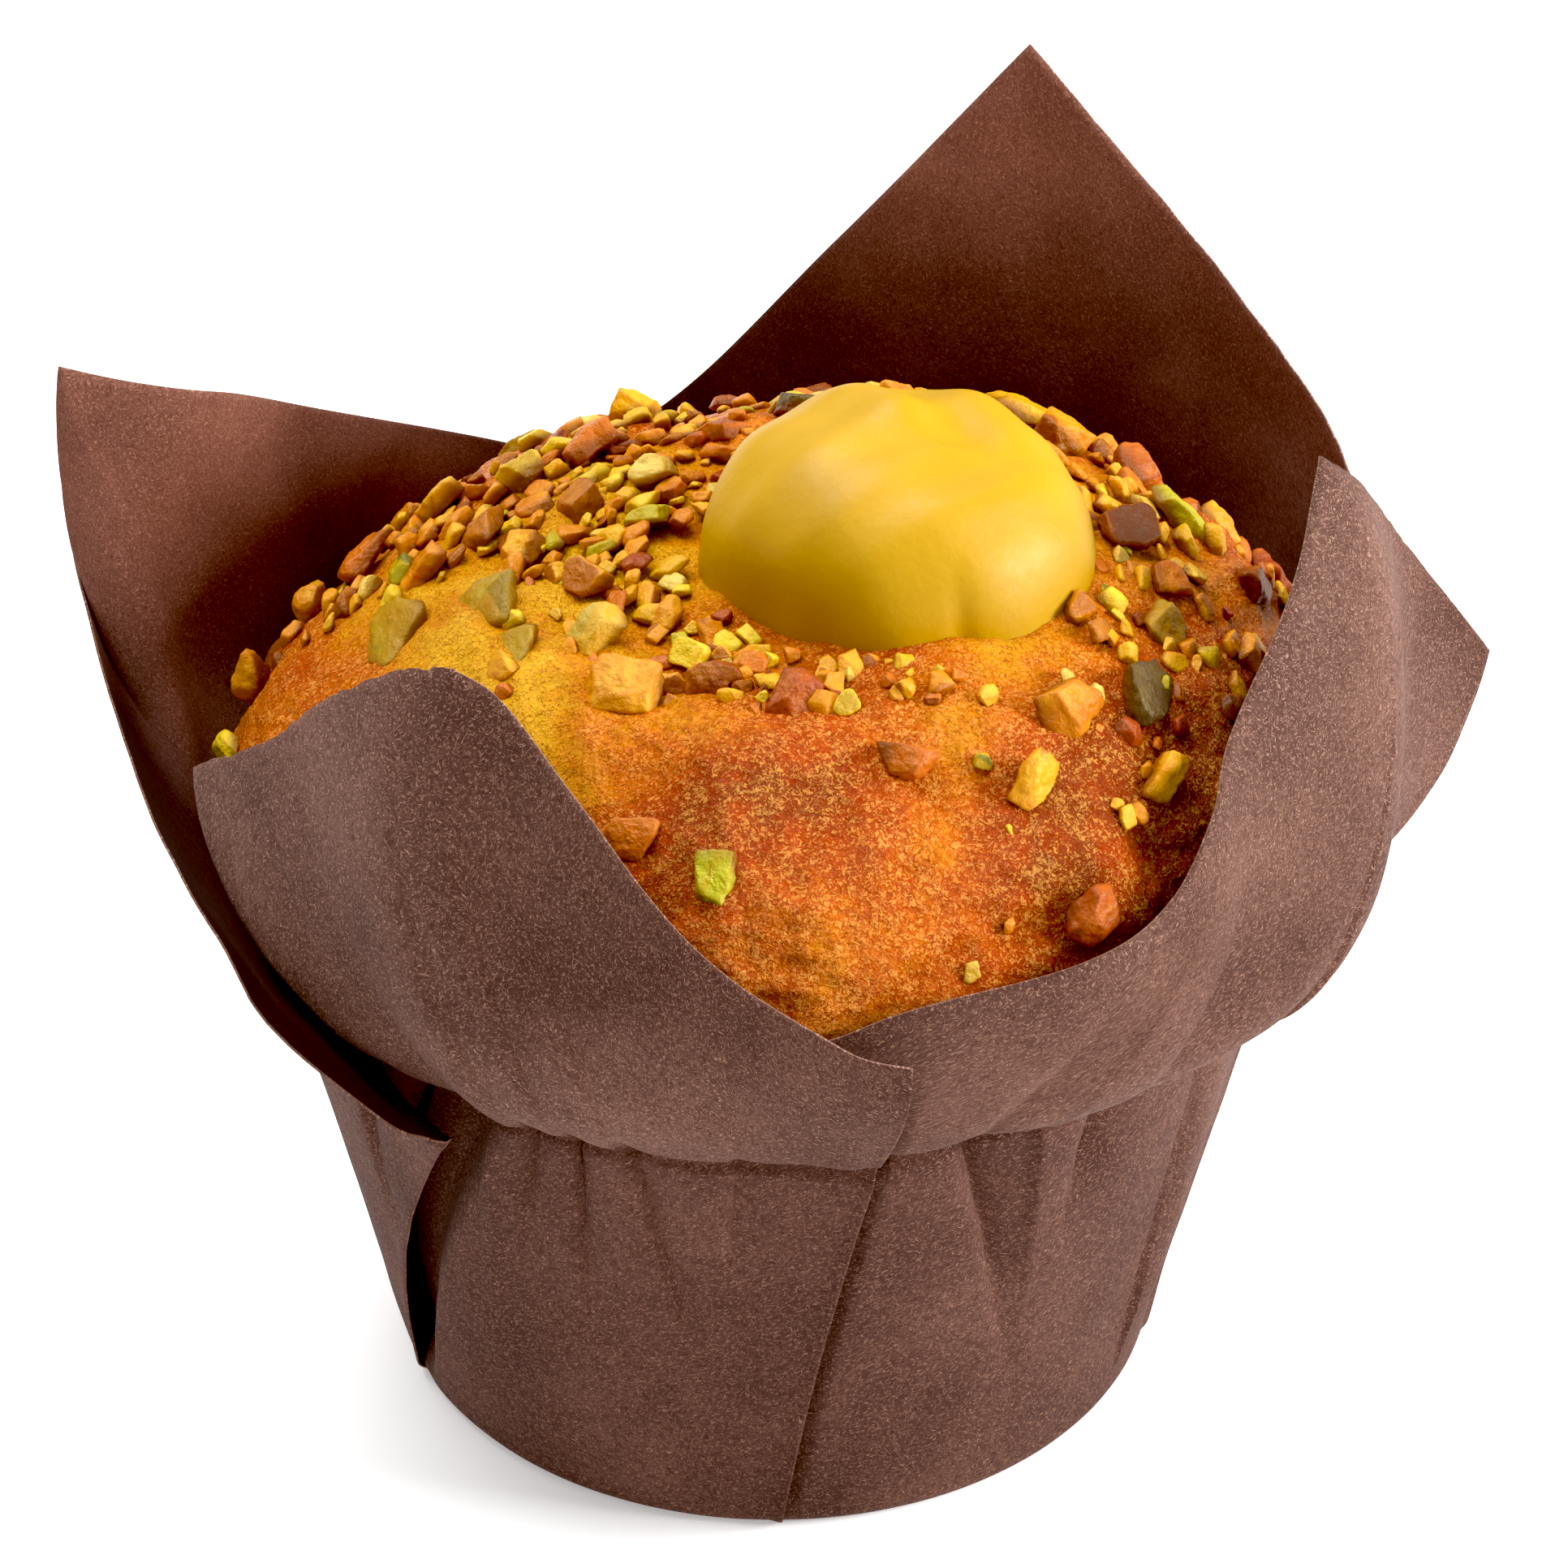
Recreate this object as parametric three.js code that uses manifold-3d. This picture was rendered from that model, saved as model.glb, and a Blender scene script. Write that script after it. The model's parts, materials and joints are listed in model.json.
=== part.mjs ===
// A nut-topped muffin standing in a folded tulip wrap of baking paper.
// Millimetres, +Z up. The origin is the centre of the flat base that it stands on.
// Azimuths are in degrees, anticlockwise from +X seen from above.
import * as THREE from "three";
import { ConvexGeometry } from "three/addons/geometries/ConvexGeometry.js";
import { mergeVertices } from "three/addons/utils/BufferGeometryUtils.js";
import Module from "manifold-3d";

const wasm = await Module();
wasm.setup();

// The cup: a sheet of paper pressed into a muffin tin.
const BASE_RADIUS = 25;
const CREASE_RADIUS = 33.6;
const CREASE_HEIGHT = 36.3;
const PAPER = 0.4;
const SLIT = 0.6;

// How the laps lie on the wall: the share of its height where a lap has its full width, and
// the degrees past the overlying edge over which the tucked paper comes back out. A free
// edge stands off the cup from FREE_EDGE of the way across, and drops as it does.
const LAP_FULL = 0.3;
const TUCK_ENDS = [1, 8];
const FREE_EDGE = 0.82;
const FREE_EDGE_DROP = 0.8;

// The reach of the curve's handles at the crease and at the rim, as shares of a petal.
const HANDLE_AT_CREASE = 0.4;
const HANDLE_AT_RIM = 0.35;

// The cake: a tapered stem in the cup and a dome that swells over the crease.
const CAKE_GAP = 2.7;
const CAKE_FLOOR = 0.8;
const DOME_RADIUS = 35.4;
const DOME_HEIGHT = 59.8;
const DOME_TILT = 0.075;
const DOME_BACK_FALL = 0.045;
const DOME_SWELLING = 0.9;

// The dollop of filling on top of the dome.
const DOLLOP_CENTRE = [7.2, -1];
const DOLLOP_REACH = 12.8;
const DOLLOP_RISE = 9.9;
const DOLLOP_SINK = 3.5;
const DOLLOP_FULLNESS = 0.8;

// Gap left between two pieces that really touch.
const GAP = 0.3;

// Chopped pistachio baked into the crust, thickest to the left and around the dollop.
// Each piece has its azimuth, its elevation seen from the middle of the dome, its length
// and its tone.
const NUT_CENTRE_HEIGHT = 42;
const NUT_SUNK = 0.4;
const NUT_HALF = [0.5, 0.4, 0.32];
const NUTS = [
  [171, 6, 4.4, "gold"], [181, 4, 3.4, "yellow"], [163, 13, 4.4, "gold"], [160, 20, 4.6, "toasted"],
  [184, 26, 5.8, "olive"], [190, 38, 6, "olive"], [149, 24, 4.6, "gold"], [171, 31, 4, "toasted"],
  [160, 35, 4.4, "brown"], [139, 33, 4.6, "yellow"], [127, 37, 4.8, "toasted"], [145, 45, 4.6, "brown"],
  [168, 42, 4, "gold"], [125, 50, 4.4, "pale"], [146, 60, 4, "green"], [102, 42, 4.4, "toasted"],
  [84, 39, 4.8, "dark"], [66, 36, 4, "gold"], [55, 28, 4.6, "yellow"], [43, 30, 4.6, "gold"],
  [44, 19, 4, "toasted"], [31, 26, 4.8, "red"], [7, 37, 5, "brown"], [15, 30, 4.2, "green"],
  [17, 16, 4.6, "red"], [21, 22, 3.8, "gold"], [357, 33, 4, "toasted"], [347, 30, 5, "olive"],
  [5, 23, 4, "brown"], [10, 13, 3.6, "yellow"], [332, 30, 5.4, "dark"], [319, 33, 5, "toasted"],
  [352, 19, 4.4, "green"], [324, 22, 4, "gold"], [307, 28, 3.4, "gold"], [292, 34, 3.6, "red"],
  [263, 23, 3.8, "green"], [306, 14, 4.8, "red"], [251, 26, 3.8, "toasted"], [237, 42, 5.8, "gold"],
  [214, 49, 4.4, "pale"], [207, 40, 4, "olive"], [257, 50, 4.6, "brown"], [274, 46, 3.8, "red"],
  [188, 52, 4.4, "gold"], [243, 54, 3.2, "yellow"], [110, 24, 4.6, "gold"], [84, 22, 4.4, "brown"],
  [127, 20, 4.2, "olive"], [65, 18, 4.6, "toasted"], [141, 13, 3.8, "toasted"], [99, 10, 4.2, "gold"],
];
const TONES = {
  gold: 0xc8962e,
  yellow: 0xcfae3c,
  pale: 0xd2be74,
  green: 0x8e9430,
  olive: 0x857428,
  toasted: 0xb8742a,
  brown: 0x7a3f1e,
  red: 0x8c3a20,
  dark: 0x35261f,
};

const rad = THREE.MathUtils.degToRad;
const mix = THREE.MathUtils.lerp;
const smooth = THREE.MathUtils.smoothstep;

// One petal of the sheet for each corner, listed anticlockwise. Its anticlockwise edge
// laps outside the next petal. base gives the azimuths of its two edges at the rim of the
// base, and creaseEnd that of its anticlockwise edge at the crease. lap is how many degrees
// it reaches under the petal beside it, tuckDepth how far in, and proud how far its own
// free edge stands off the cup at the crease. risingEdge runs from the clockwise corner up
// to the tip, and fallingEdge from the tip down to the anticlockwise corner. leave and
// arrive are the slopes of the paper at the crease and at the rim, in degrees outward from
// upright, at the clockwise edge, the tip and the anticlockwise edge.
const PETALS = [
  // The petal on +X, which rolls outward.
  {
    base: [271, 350],
    creaseEnd: 353,
    lap: 13,
    tuckDepth: 1.2,
    proud: 0.4,
    tipShare: 0.66,
    risingEdge: [[-4, -36.6, 46], [3, -37, 48], [8.5, -35.6, 49.5], [19.5, -31, 50], [24.5, -27, 51.5],
      [27.2, -23, 55], [28.5, -18, 57.5], [32.5, -9, 62.5], [34.5, -1.5, 68]],
    fallingEdge: [[34.5, -1.5, 68], [37.5, 1, 64], [41.5, 5, 56.5], [47, 8, 47]],
    leave: [35, 78, 70],
    arrive: [-5, -40, 10],
  },
  // The tall petal on +Y.
  {
    base: [350, 452],
    creaseEnd: 482,
    lap: 10,
    tuckDepth: 1.2,
    proud: 0.4,
    tipShare: 0.5,
    risingEdge: [[38, 4, 44], [39, 15, 50], [37, 22.5, 55], [29.5, 30, 62.5], [17, 39, 75]],
    fallingEdge: [[17, 39, 75], [4.5, 39.5, 60], [-8, 39.5, 46], [-20, 36.5, 41]],
    leave: [40, 25, 50],
    arrive: [10, 10, 10],
  },
  // The petal on -X, whose free edge stands off the cup.
  {
    base: [92, 200],
    creaseEnd: 235,
    lap: 15,
    tuckDepth: 1.2,
    proud: 2,
    tipShare: 0.45,
    risingEdge: [[-4, 37, 40], [-16.5, 34.8, 45.5], [-30, 23.5, 56], [-38.5, 14, 64], [-46.5, 10, 68]],
    fallingEdge: [[-46.5, 10, 68], [-46.5, 9, 59], [-45, 7, 51], [-42.3, -1.5, 46.5], [-39, -10.5, 44],
      [-35, -18.5, 42], [-31.8, -23.5, 39.5], [-24.5, -29.5, 36.5], [-21.5, -31, 36.2]],
    leave: [40, 45, 70],
    arrive: [0, 10, 50],
  },
  // The petal on -Y, which leans over the crease.
  {
    base: [200, 271],
    creaseEnd: 281,
    lap: 7,
    tuckDepth: 1.4,
    proud: 0.6,
    tipShare: 0.35,
    risingEdge: [[-37, -10, 50], [-31.5, -17, 57], [-28, -20.5, 62], [-23, -26, 68], [-19.5, -28.5, 70]],
    fallingEdge: [[-19.5, -28.5, 70], [-16.5, -30, 68.5], [-12, -34, 64], [-7, -37.3, 58],
      [-2.5, -38.3, 53.5], [3, -39.3, 50], [5.5, -39.7, 48.7], [8.5, -39.7, 48]],
    leave: [75, 45, 45],
    arrive: [-5, -25, 0],
  },
];

const STEPS_ACROSS = 20;
const STEPS_WALL = 8;
const STEPS_FLARE = 9;
const STEPS_ROUND = 48;
const STEPS_PROFILE = 26;

function upright(azimuth, radius, height) {
  const angle = rad(azimuth);
  return new THREE.Vector3(radius * Math.cos(angle), radius * Math.sin(angle), height);
}

function pointOnEdge(corners, share) {
  const points = corners.map((corner) => new THREE.Vector3(...corner));
  return new THREE.CatmullRomCurve3(points, false, "catmullrom", 0.5).getPoint(share);
}

// A value given at the two edges and the tip, at any place across the petal.
function between(values, across, tipShare) {
  if (across < tipShare) {
    return mix(values[0], values[1], smooth(across, 0, tipShare));
  }
  return mix(values[1], values[2], smooth(across, tipShare, 1));
}

// The cup wall, from the rim of the base (up = 0) to the crease (up = 1). Near its
// clockwise edge the paper is tucked in under the petal beside it.
function wallPoint(petal, across, up) {
  const slit = THREE.MathUtils.radToDeg(SLIT / BASE_RADIUS) / 2;
  const overlyingEdge = mix(petal.base[0], petal.overlyingCrease, up);
  const ownStart = overlyingEdge + slit - (petal.lap + slit) * smooth(up, 0, LAP_FULL);
  const ownEnd = mix(petal.base[1] - slit, petal.creaseEnd, up);
  const azimuth = mix(ownStart, ownEnd, across);
  const tucked = smooth(up, 0, LAP_FULL / 2) * (1 - smooth(azimuth - overlyingEdge, ...TUCK_ENDS));
  const lifted = petal.proud * up * up * smooth(across, FREE_EDGE, 1);
  const radius = mix(BASE_RADIUS, CREASE_RADIUS, up) - petal.tuckDepth * tucked + lifted;
  const height = mix(PAPER / 2, CREASE_HEIGHT, up) - FREE_EDGE_DROP * lifted;
  return upright(azimuth, radius, height);
}

// The flared part, from the crease (out = 0) to the rim of the sheet (out = 1).
function flarePoint(petal, across, out) {
  const share = petal.tipShare;
  const start = wallPoint(petal, across, 1);
  const end = across < share
    ? pointOnEdge(petal.risingEdge, across / share)
    : pointOnEdge(petal.fallingEdge, (across - share) / (1 - share));
  const reach = start.distanceTo(end);
  const leave = rad(between(petal.leave, across, share));
  const arrive = rad(between(petal.arrive, across, share));
  const outwardStart = new THREE.Vector3(start.x, start.y, 0).normalize();
  const outwardEnd = new THREE.Vector3(end.x, end.y, 0).normalize();
  const first = start.clone()
    .addScaledVector(outwardStart, HANDLE_AT_CREASE * reach * Math.sin(leave))
    .add(new THREE.Vector3(0, 0, HANDLE_AT_CREASE * reach * Math.cos(leave)));
  const second = end.clone()
    .addScaledVector(outwardEnd, -HANDLE_AT_RIM * reach * Math.sin(arrive))
    .add(new THREE.Vector3(0, 0, -HANDLE_AT_RIM * reach * Math.cos(arrive)));
  return new THREE.CubicBezierCurve3(start, first, second, end).getPoint(out);
}

// A grid of points over one petal, rows from the base to the rim of the sheet.
function petalRows(petal) {
  const risingSteps = Math.round(STEPS_ACROSS * petal.tipShare);
  const shares = [];
  for (let i = 0; i <= STEPS_ACROSS; i += 1) {
    shares.push(i <= risingSteps
      ? (petal.tipShare * i) / risingSteps
      : petal.tipShare + ((1 - petal.tipShare) * (i - risingSteps)) / (STEPS_ACROSS - risingSteps));
  }
  const rows = [];
  for (let j = 0; j < STEPS_WALL; j += 1) {
    rows.push(shares.map((across) => wallPoint(petal, across, (j / STEPS_WALL) ** 1.4)));
  }
  for (let j = 0; j <= STEPS_FLARE; j += 1) {
    rows.push(shares.map((across) => flarePoint(petal, across, j / STEPS_FLARE)));
  }
  return rows;
}

// The normal at each grid point, pointing away from the cake.
function gridNormals(rows) {
  return rows.map((row, j) => row.map((point, i) => {
    const along = row[Math.min(i + 1, row.length - 1)].clone().sub(row[Math.max(i - 1, 0)]);
    const below = rows[Math.max(j - 1, 0)][i];
    const up = rows[Math.min(j + 1, rows.length - 1)][i].clone().sub(below);
    return along.cross(up).normalize();
  }));
}

// A closed skin of the paper's thickness on both sides of the grid.
function thickSheet(rows) {
  const normals = gridNormals(rows);
  const across = rows[0].length;
  const count = rows.length * across;
  const positions = [];
  for (const side of [0.5, -0.5]) {
    rows.forEach((row, j) => row.forEach((point, i) => {
      const moved = point.clone().addScaledVector(normals[j][i], side * PAPER);
      positions.push(moved.x, moved.y, moved.z);
    }));
  }
  const index = [];
  const quad = (a, b, c, d) => index.push(a, b, c, a, c, d);
  for (let j = 0; j < rows.length - 1; j += 1) {
    for (let i = 0; i < across - 1; i += 1) {
      const a = j * across + i;
      quad(a, a + 1, a + across + 1, a + across);
      quad(count + a, count + a + across, count + a + across + 1, count + a + 1);
    }
  }
  const wall = (a, b) => quad(b, a, count + a, count + b);
  for (let i = 0; i < across - 1; i += 1) {
    wall(i, i + 1);
    wall(count - 1 - i, count - 2 - i);
  }
  for (let j = 0; j < rows.length - 1; j += 1) {
    wall((j + 1) * across, j * across);
    wall((j + 1) * across - 1, (j + 2) * across - 1);
  }
  return solidOf(positions, index);
}

function solidOf(positions, index) {
  const mesh = new wasm.Mesh({
    numProp: 3,
    vertProperties: new Float32Array(positions),
    triVerts: new Uint32Array(index),
  });
  mesh.merge();
  return new wasm.Manifold(mesh);
}

function solidFromGeometry(geometry) {
  geometry.deleteAttribute("normal");
  geometry.deleteAttribute("uv");
  const merged = mergeVertices(geometry, 1e-4);
  return solidOf(merged.attributes.position.array, merged.index.array);
}

function geometryOf(solid) {
  const mesh = solid.getMesh();
  const geometry = new THREE.BufferGeometry();
  geometry.setAttribute("position", new THREE.BufferAttribute(mesh.vertProperties, 3));
  geometry.setIndex(new THREE.BufferAttribute(mesh.triVerts, 1));
  geometry.computeVertexNormals();
  return geometry;
}

function makeWrap() {
  PETALS.forEach((petal, i) => {
    const neighbour = PETALS[(i + PETALS.length - 1) % PETALS.length];
    const turns = Math.round((neighbour.base[1] - petal.base[0]) / 360);
    petal.overlyingCrease = neighbour.creaseEnd - 360 * turns;
  });
  const disc = new THREE.CylinderGeometry(BASE_RADIUS, BASE_RADIUS, PAPER, 96);
  disc.rotateX(Math.PI / 2);
  disc.translate(0, 0, PAPER / 2);
  let wrap = solidFromGeometry(disc);
  for (const petal of PETALS) {
    wrap = wrap.add(thickSheet(petalRows(petal)));
  }
  return wrap;
}

// Low swellings that keep the baked surfaces from looking turned on a lathe.
function swelling(x, y, z, height) {
  const wave = Math.sin(0.21 * x + 0.13 * z + 1.1) * Math.sin(0.19 * y - 0.11 * z + 0.4);
  const ripple = Math.sin(0.47 * x - 0.2 * y) * Math.sin(0.41 * y + 0.3 * z + 2);
  return height * (0.65 * wave + 0.35 * ripple);
}

function latheCake(outline, extra) {
  const curve = new THREE.SplineCurve(outline.map(([r, z]) => new THREE.Vector2(r, z)));
  const profile = curve.getPoints(STEPS_PROFILE);
  profile[0].x = 0;
  profile[profile.length - 1].x = 0;
  const geometry = new THREE.LatheGeometry(profile, STEPS_ROUND);
  geometry.rotateX(Math.PI / 2);
  const position = geometry.attributes.position;
  for (let i = 0; i < position.count; i += 1) {
    const point = new THREE.Vector3().fromBufferAttribute(position, i);
    const above = smooth(point.z, CREASE_HEIGHT + 4, CREASE_HEIGHT + 14);
    const raised = smooth(point.z, CREASE_HEIGHT, CREASE_HEIGHT + 16);
    point.z += raised * (DOME_TILT * point.x - DOME_BACK_FALL * Math.max(point.y, 0));
    const outward = new THREE.Vector3(point.x, point.y, (point.z - CREASE_HEIGHT) * 1.1).normalize();
    const amount = extra + above * swelling(point.x, point.y, point.z, DOME_SWELLING);
    point.addScaledVector(outward, point.z > CREASE_HEIGHT ? amount : 0);
    position.setXYZ(i, point.x, point.y, point.z);
  }
  return solidFromGeometry(geometry);
}

// The baked cake. extra swells the dome evenly, to cut its neighbours clear of it.
function makeCake(extra) {
  const foot = BASE_RADIUS - CAKE_GAP;
  const neck = CREASE_RADIUS - CAKE_GAP;
  const outline = [
    [0, CAKE_FLOOR],
    [foot * 0.5, CAKE_FLOOR],
    [foot - 0.6, CAKE_FLOOR],
    [foot + 0.8, 3.5],
    [(foot + neck) / 2, CREASE_HEIGHT / 2],
    [neck, CREASE_HEIGHT],
    [DOME_RADIUS - 1, 40.5],
    [DOME_RADIUS, 45],
    [DOME_RADIUS - 2.4, 50],
    [28, 54.8],
    [20, 58.8],
    [10, DOME_HEIGHT - 0.7],
    [0, DOME_HEIGHT],
  ];
  return latheCake(outline, extra);
}

// A soft spoonful: a cushion shape with uneven lobes, set down on the dome.
function makeDollop(extra, clearCake) {
  const geometry = new THREE.SphereGeometry(1, 40, 20);
  geometry.rotateX(Math.PI / 2);
  const position = geometry.attributes.position;
  for (let i = 0; i < position.count; i += 1) {
    const point = new THREE.Vector3().fromBufferAttribute(position, i);
    const angle = Math.atan2(point.y, point.x);
    const spread = Math.hypot(point.x, point.y);
    const lobes = 1 + spread * (0.06 * Math.sin(3 * angle + 2.6) + 0.05 * Math.sin(5 * angle + 0.9));
    const top = Math.sign(point.z) * Math.abs(point.z) ** DOLLOP_FULLNESS;
    position.setXYZ(
      i,
      DOLLOP_CENTRE[0] + (DOLLOP_REACH * lobes + extra) * point.x,
      DOLLOP_CENTRE[1] + (DOLLOP_REACH * lobes + extra) * point.y,
      DOME_HEIGHT - DOLLOP_SINK + DOME_TILT * point.x * DOLLOP_REACH
        + (DOLLOP_RISE + DOLLOP_SINK + extra) * top,
    );
  }
  return solidFromGeometry(geometry).subtract(clearCake);
}

// Repeatable numbers between -1 and 1 for the shapes of the nuts.
function makeDice(seed) {
  let state = seed;
  return () => {
    state = (state * 1103515245 + 12345) % 2147483648;
    return state / 1073741824 - 1;
  };
}

// One chopped piece: a small uneven block with a few flat faces, its foot in the crust.
function makeNut(azimuth, elevation, length, seed, cakeMesh) {
  const roll = makeDice(seed);
  const points = [];
  for (const x of [-NUT_HALF[0], NUT_HALF[0]]) {
    for (const y of [-NUT_HALF[1], NUT_HALF[1]]) {
      for (const z of [-NUT_HALF[2], NUT_HALF[2]]) {
        const shrink = 0.82 + 0.18 * roll();
        points.push(new THREE.Vector3(
          length * shrink * x * (1 + 0.12 * roll()),
          length * shrink * y * (1 + 0.2 * roll()),
          length * shrink * z * (1 + 0.2 * roll()),
        ));
      }
    }
  }
  const geometry = new ConvexGeometry(points);
  const outward = upright(azimuth, Math.cos(rad(elevation)), Math.sin(rad(elevation)));
  const middle = new THREE.Vector3(0, 0, NUT_CENTRE_HEIGHT);
  const from = middle.clone().addScaledVector(outward, 2 * DOME_RADIUS);
  const hit = new THREE.Raycaster(from, outward.clone().negate()).intersectObject(cakeMesh)[0];
  const turn = new THREE.Quaternion().setFromUnitVectors(new THREE.Vector3(0, 0, 1), hit.face.normal);
  const spin = new THREE.Quaternion().setFromAxisAngle(new THREE.Vector3(0, 0, 1), Math.PI * roll());
  geometry.applyQuaternion(turn.multiply(spin));
  const raise = length * NUT_HALF[2] * (1 - 2 * NUT_SUNK) + GAP;
  const place = hit.point.clone().addScaledVector(hit.face.normal, raise);
  geometry.translate(place.x, place.y, place.z);
  return solidFromGeometry(geometry);
}

const wrap = makeWrap();
const cake = makeCake(0);
const clearCake = makeCake(GAP);
const dollop = makeDollop(0, clearCake);
const clearDollop = makeDollop(GAP, clearCake);

const model = new THREE.Group();
function addPiece(name, solid, color, roughness) {
  const material = new THREE.MeshStandardMaterial({ color, roughness, metalness: 0 });
  const mesh = new THREE.Mesh(geometryOf(solid), material);
  mesh.name = name;
  model.add(mesh);
  return mesh;
}

addPiece("tulip_wrap", wrap, 0x5f4842, 0.9);
const cakeMesh = addPiece("muffin", cake, 0xc98a35, 0.85);
addPiece("cream_dollop", dollop, 0xc8a03c, 0.45);
NUTS.forEach(([azimuth, elevation, length, tone], i) => {
  const block = makeNut(azimuth, elevation, length, i + 1, cakeMesh);
  const nut = block.subtract(clearCake).subtract(clearDollop);
  addPiece(`pistachio_${String(i + 1).padStart(2, "0")}`, nut, TONES[tone], 0.55);
});

export default model;
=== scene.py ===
import bpy
import bmesh
import json
import math
import numpy as np
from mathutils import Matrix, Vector, noise


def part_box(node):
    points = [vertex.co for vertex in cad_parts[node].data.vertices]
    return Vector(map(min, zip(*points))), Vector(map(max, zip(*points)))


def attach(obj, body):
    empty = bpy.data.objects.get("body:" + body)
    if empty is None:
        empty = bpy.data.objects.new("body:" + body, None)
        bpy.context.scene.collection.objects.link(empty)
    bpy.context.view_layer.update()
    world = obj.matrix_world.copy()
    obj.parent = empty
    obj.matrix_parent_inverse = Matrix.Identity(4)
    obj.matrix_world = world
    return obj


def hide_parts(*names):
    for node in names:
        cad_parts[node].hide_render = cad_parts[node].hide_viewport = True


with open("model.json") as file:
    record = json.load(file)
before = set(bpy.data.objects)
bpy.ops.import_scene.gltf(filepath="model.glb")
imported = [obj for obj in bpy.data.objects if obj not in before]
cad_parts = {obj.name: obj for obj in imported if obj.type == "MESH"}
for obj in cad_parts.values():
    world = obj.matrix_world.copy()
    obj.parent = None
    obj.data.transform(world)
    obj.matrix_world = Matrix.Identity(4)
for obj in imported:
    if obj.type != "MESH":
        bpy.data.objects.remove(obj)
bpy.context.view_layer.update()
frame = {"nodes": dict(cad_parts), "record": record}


# ---------------------------------------------------------------- tulip wrap
# A 150 mm square of brown baking paper, pressed into a tin so that it has a flat base, a
# tapered wall and a crease, with four petals above it. Its laps hold only by their folds.
MM = 0.001

# Sizes in mm. The sheet is drawn thick enough to hold together, just clear of the floor.
BASE_RADIUS = 25.0
BASE_ROUNDING = 1.2
CREASE_RADIUS = 33.6
CREASE_HEIGHT = 36.3
PAPER_THICK = 0.16
FLOOR_GAP = 0.1

# How far a lap's free edge lifts, how far the fold above the crease stands out, and how deep
# the crease is drawn in, in mm.
EDGE_LIFT = 0.3
LIP = 0.85
GROOVE = 0.4

# The pull of a petal's curve where it leaves the crease and where it arrives at the rim, as
# shares of its length, and where above the crease the darkening for grease and painted shade
# begins to fade and ends, in mm.
LEAVING_PULL = 0.4
ARRIVING_PULL = 0.35
GREASE_AND_SHADE_FADES = (13, 38)

# How far apart the petals lie on the flat sheet that carries the fibres, in mm.
PETALS_APART = 200

# Each petal as the frame has it, in mm and degrees: its span at the base, where it ends on
# the crease, where its seam meets the crease, how far it laps behind that seam, how deep the
# hidden edge is tucked and over how many degrees that fades, how proud the free edge stands,
# where across the tip is, and the rim's corners up to the tip and down from it. Then, at the
# start, tip and end: how the sheet leans out as it leaves the crease and as it arrives at the
# rim, and how far it is darkened, partly for grease it has soaked up and partly as painted
# shade where the cake and the other petals shadow it. Last, how ragged the two sides of the
# rim are.
PETALS = [
    dict(
        name="right",
        base=(271, 350),
        crease_end=353,
        over=281,
        lap=13,
        tuck=0.5,
        tuck_ends=2.4,
        proud=0.4,
        tip=0.66,
        rising=[(-4, -36.6, 46), (3, -37, 48), (8.5, -35.6, 49.5), (19.5, -31, 50),
                (24.5, -27, 51.5), (27.2, -23, 55), (28.5, -18, 57.5), (32.5, -9, 62.5),
                (34.5, -1.5, 68)],
        falling=[(34.5, -1.5, 68), (37.5, 1, 64), (41.5, 5, 56.5), (47, 8, 47)],
        leave=(35, 78, 70),
        arrive=(-5, -40, 10),
        grease_and_shade=(0.5, 0.5, 0.6),
        ragged=(0.0, 0.16),
    ),
    dict(
        name="back",
        base=(350, 452),
        crease_end=482,
        over=353,
        lap=10,
        tuck=0.6,
        tuck_ends=4,
        proud=0.4,
        tip=0.5,
        rising=[(38, 4, 44), (39, 15, 50), (37, 22.5, 55), (29.5, 30, 62.5), (17, 39, 75)],
        falling=[(17, 39, 75), (4.5, 39.5, 60), (-8, 39.5, 46), (-20, 36.5, 41)],
        leave=(40, 25, 50),
        arrive=(10, 10, 10),
        grease_and_shade=(0.95, 0.85, 0.95),
        ragged=(0.1, 0.0),
    ),
    dict(
        name="left",
        base=(92, 200),
        crease_end=235,
        over=122,
        lap=15,
        tuck=0.6,
        tuck_ends=5,
        proud=2.0,
        tip=0.45,
        rising=[(-4, 37, 40), (-16.5, 34.8, 45.5), (-30, 23.5, 56), (-38.5, 14, 64),
                (-46.5, 10, 68)],
        falling=[(-46.5, 10, 68), (-46.5, 9, 59), (-45, 7, 51), (-42.3, -1.5, 46.5),
                 (-39, -10.5, 44), (-35, -18.5, 42), (-31.8, -23.5, 39.5),
                 (-24.5, -29.5, 36.5), (-21.5, -31, 36.2)],
        leave=(40, 45, 70),
        arrive=(0, 10, 50),
        # The left petal is darkened as painted shade near the back, and past full strength at its
        # front end as a painted shadow in the pocket under the front petal's edge.
        grease_and_shade=(1.0, 0.05, 4.0),
        ragged=(0.0, 0.1),
    ),
    dict(
        name="front",
        base=(200, 271),
        crease_end=281,
        over=235,
        lap=7,
        tuck=2.0,
        tuck_ends=7,
        proud=0.6,
        tip=0.35,
        rising=[(-37, -10, 50), (-31.5, -17, 57), (-28, -20.5, 62), (-23, -26, 68),
                (-19.5, -28.5, 70)],
        falling=[(-19.5, -28.5, 70), (-16.5, -30, 68.5), (-12, -34, 64), (-7, -37.3, 58),
                 (-2.5, -38.3, 53.5), (3, -39.3, 50), (5.5, -39.7, 48.7), (8.5, -39.7, 48)],
        leave=(75, 45, 45),
        arrive=(-5, -25, 0),
        grease_and_shade=(0.6, 0.4, 0.5),
        ragged=(0.22, 0.0),
    ),
]

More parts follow.
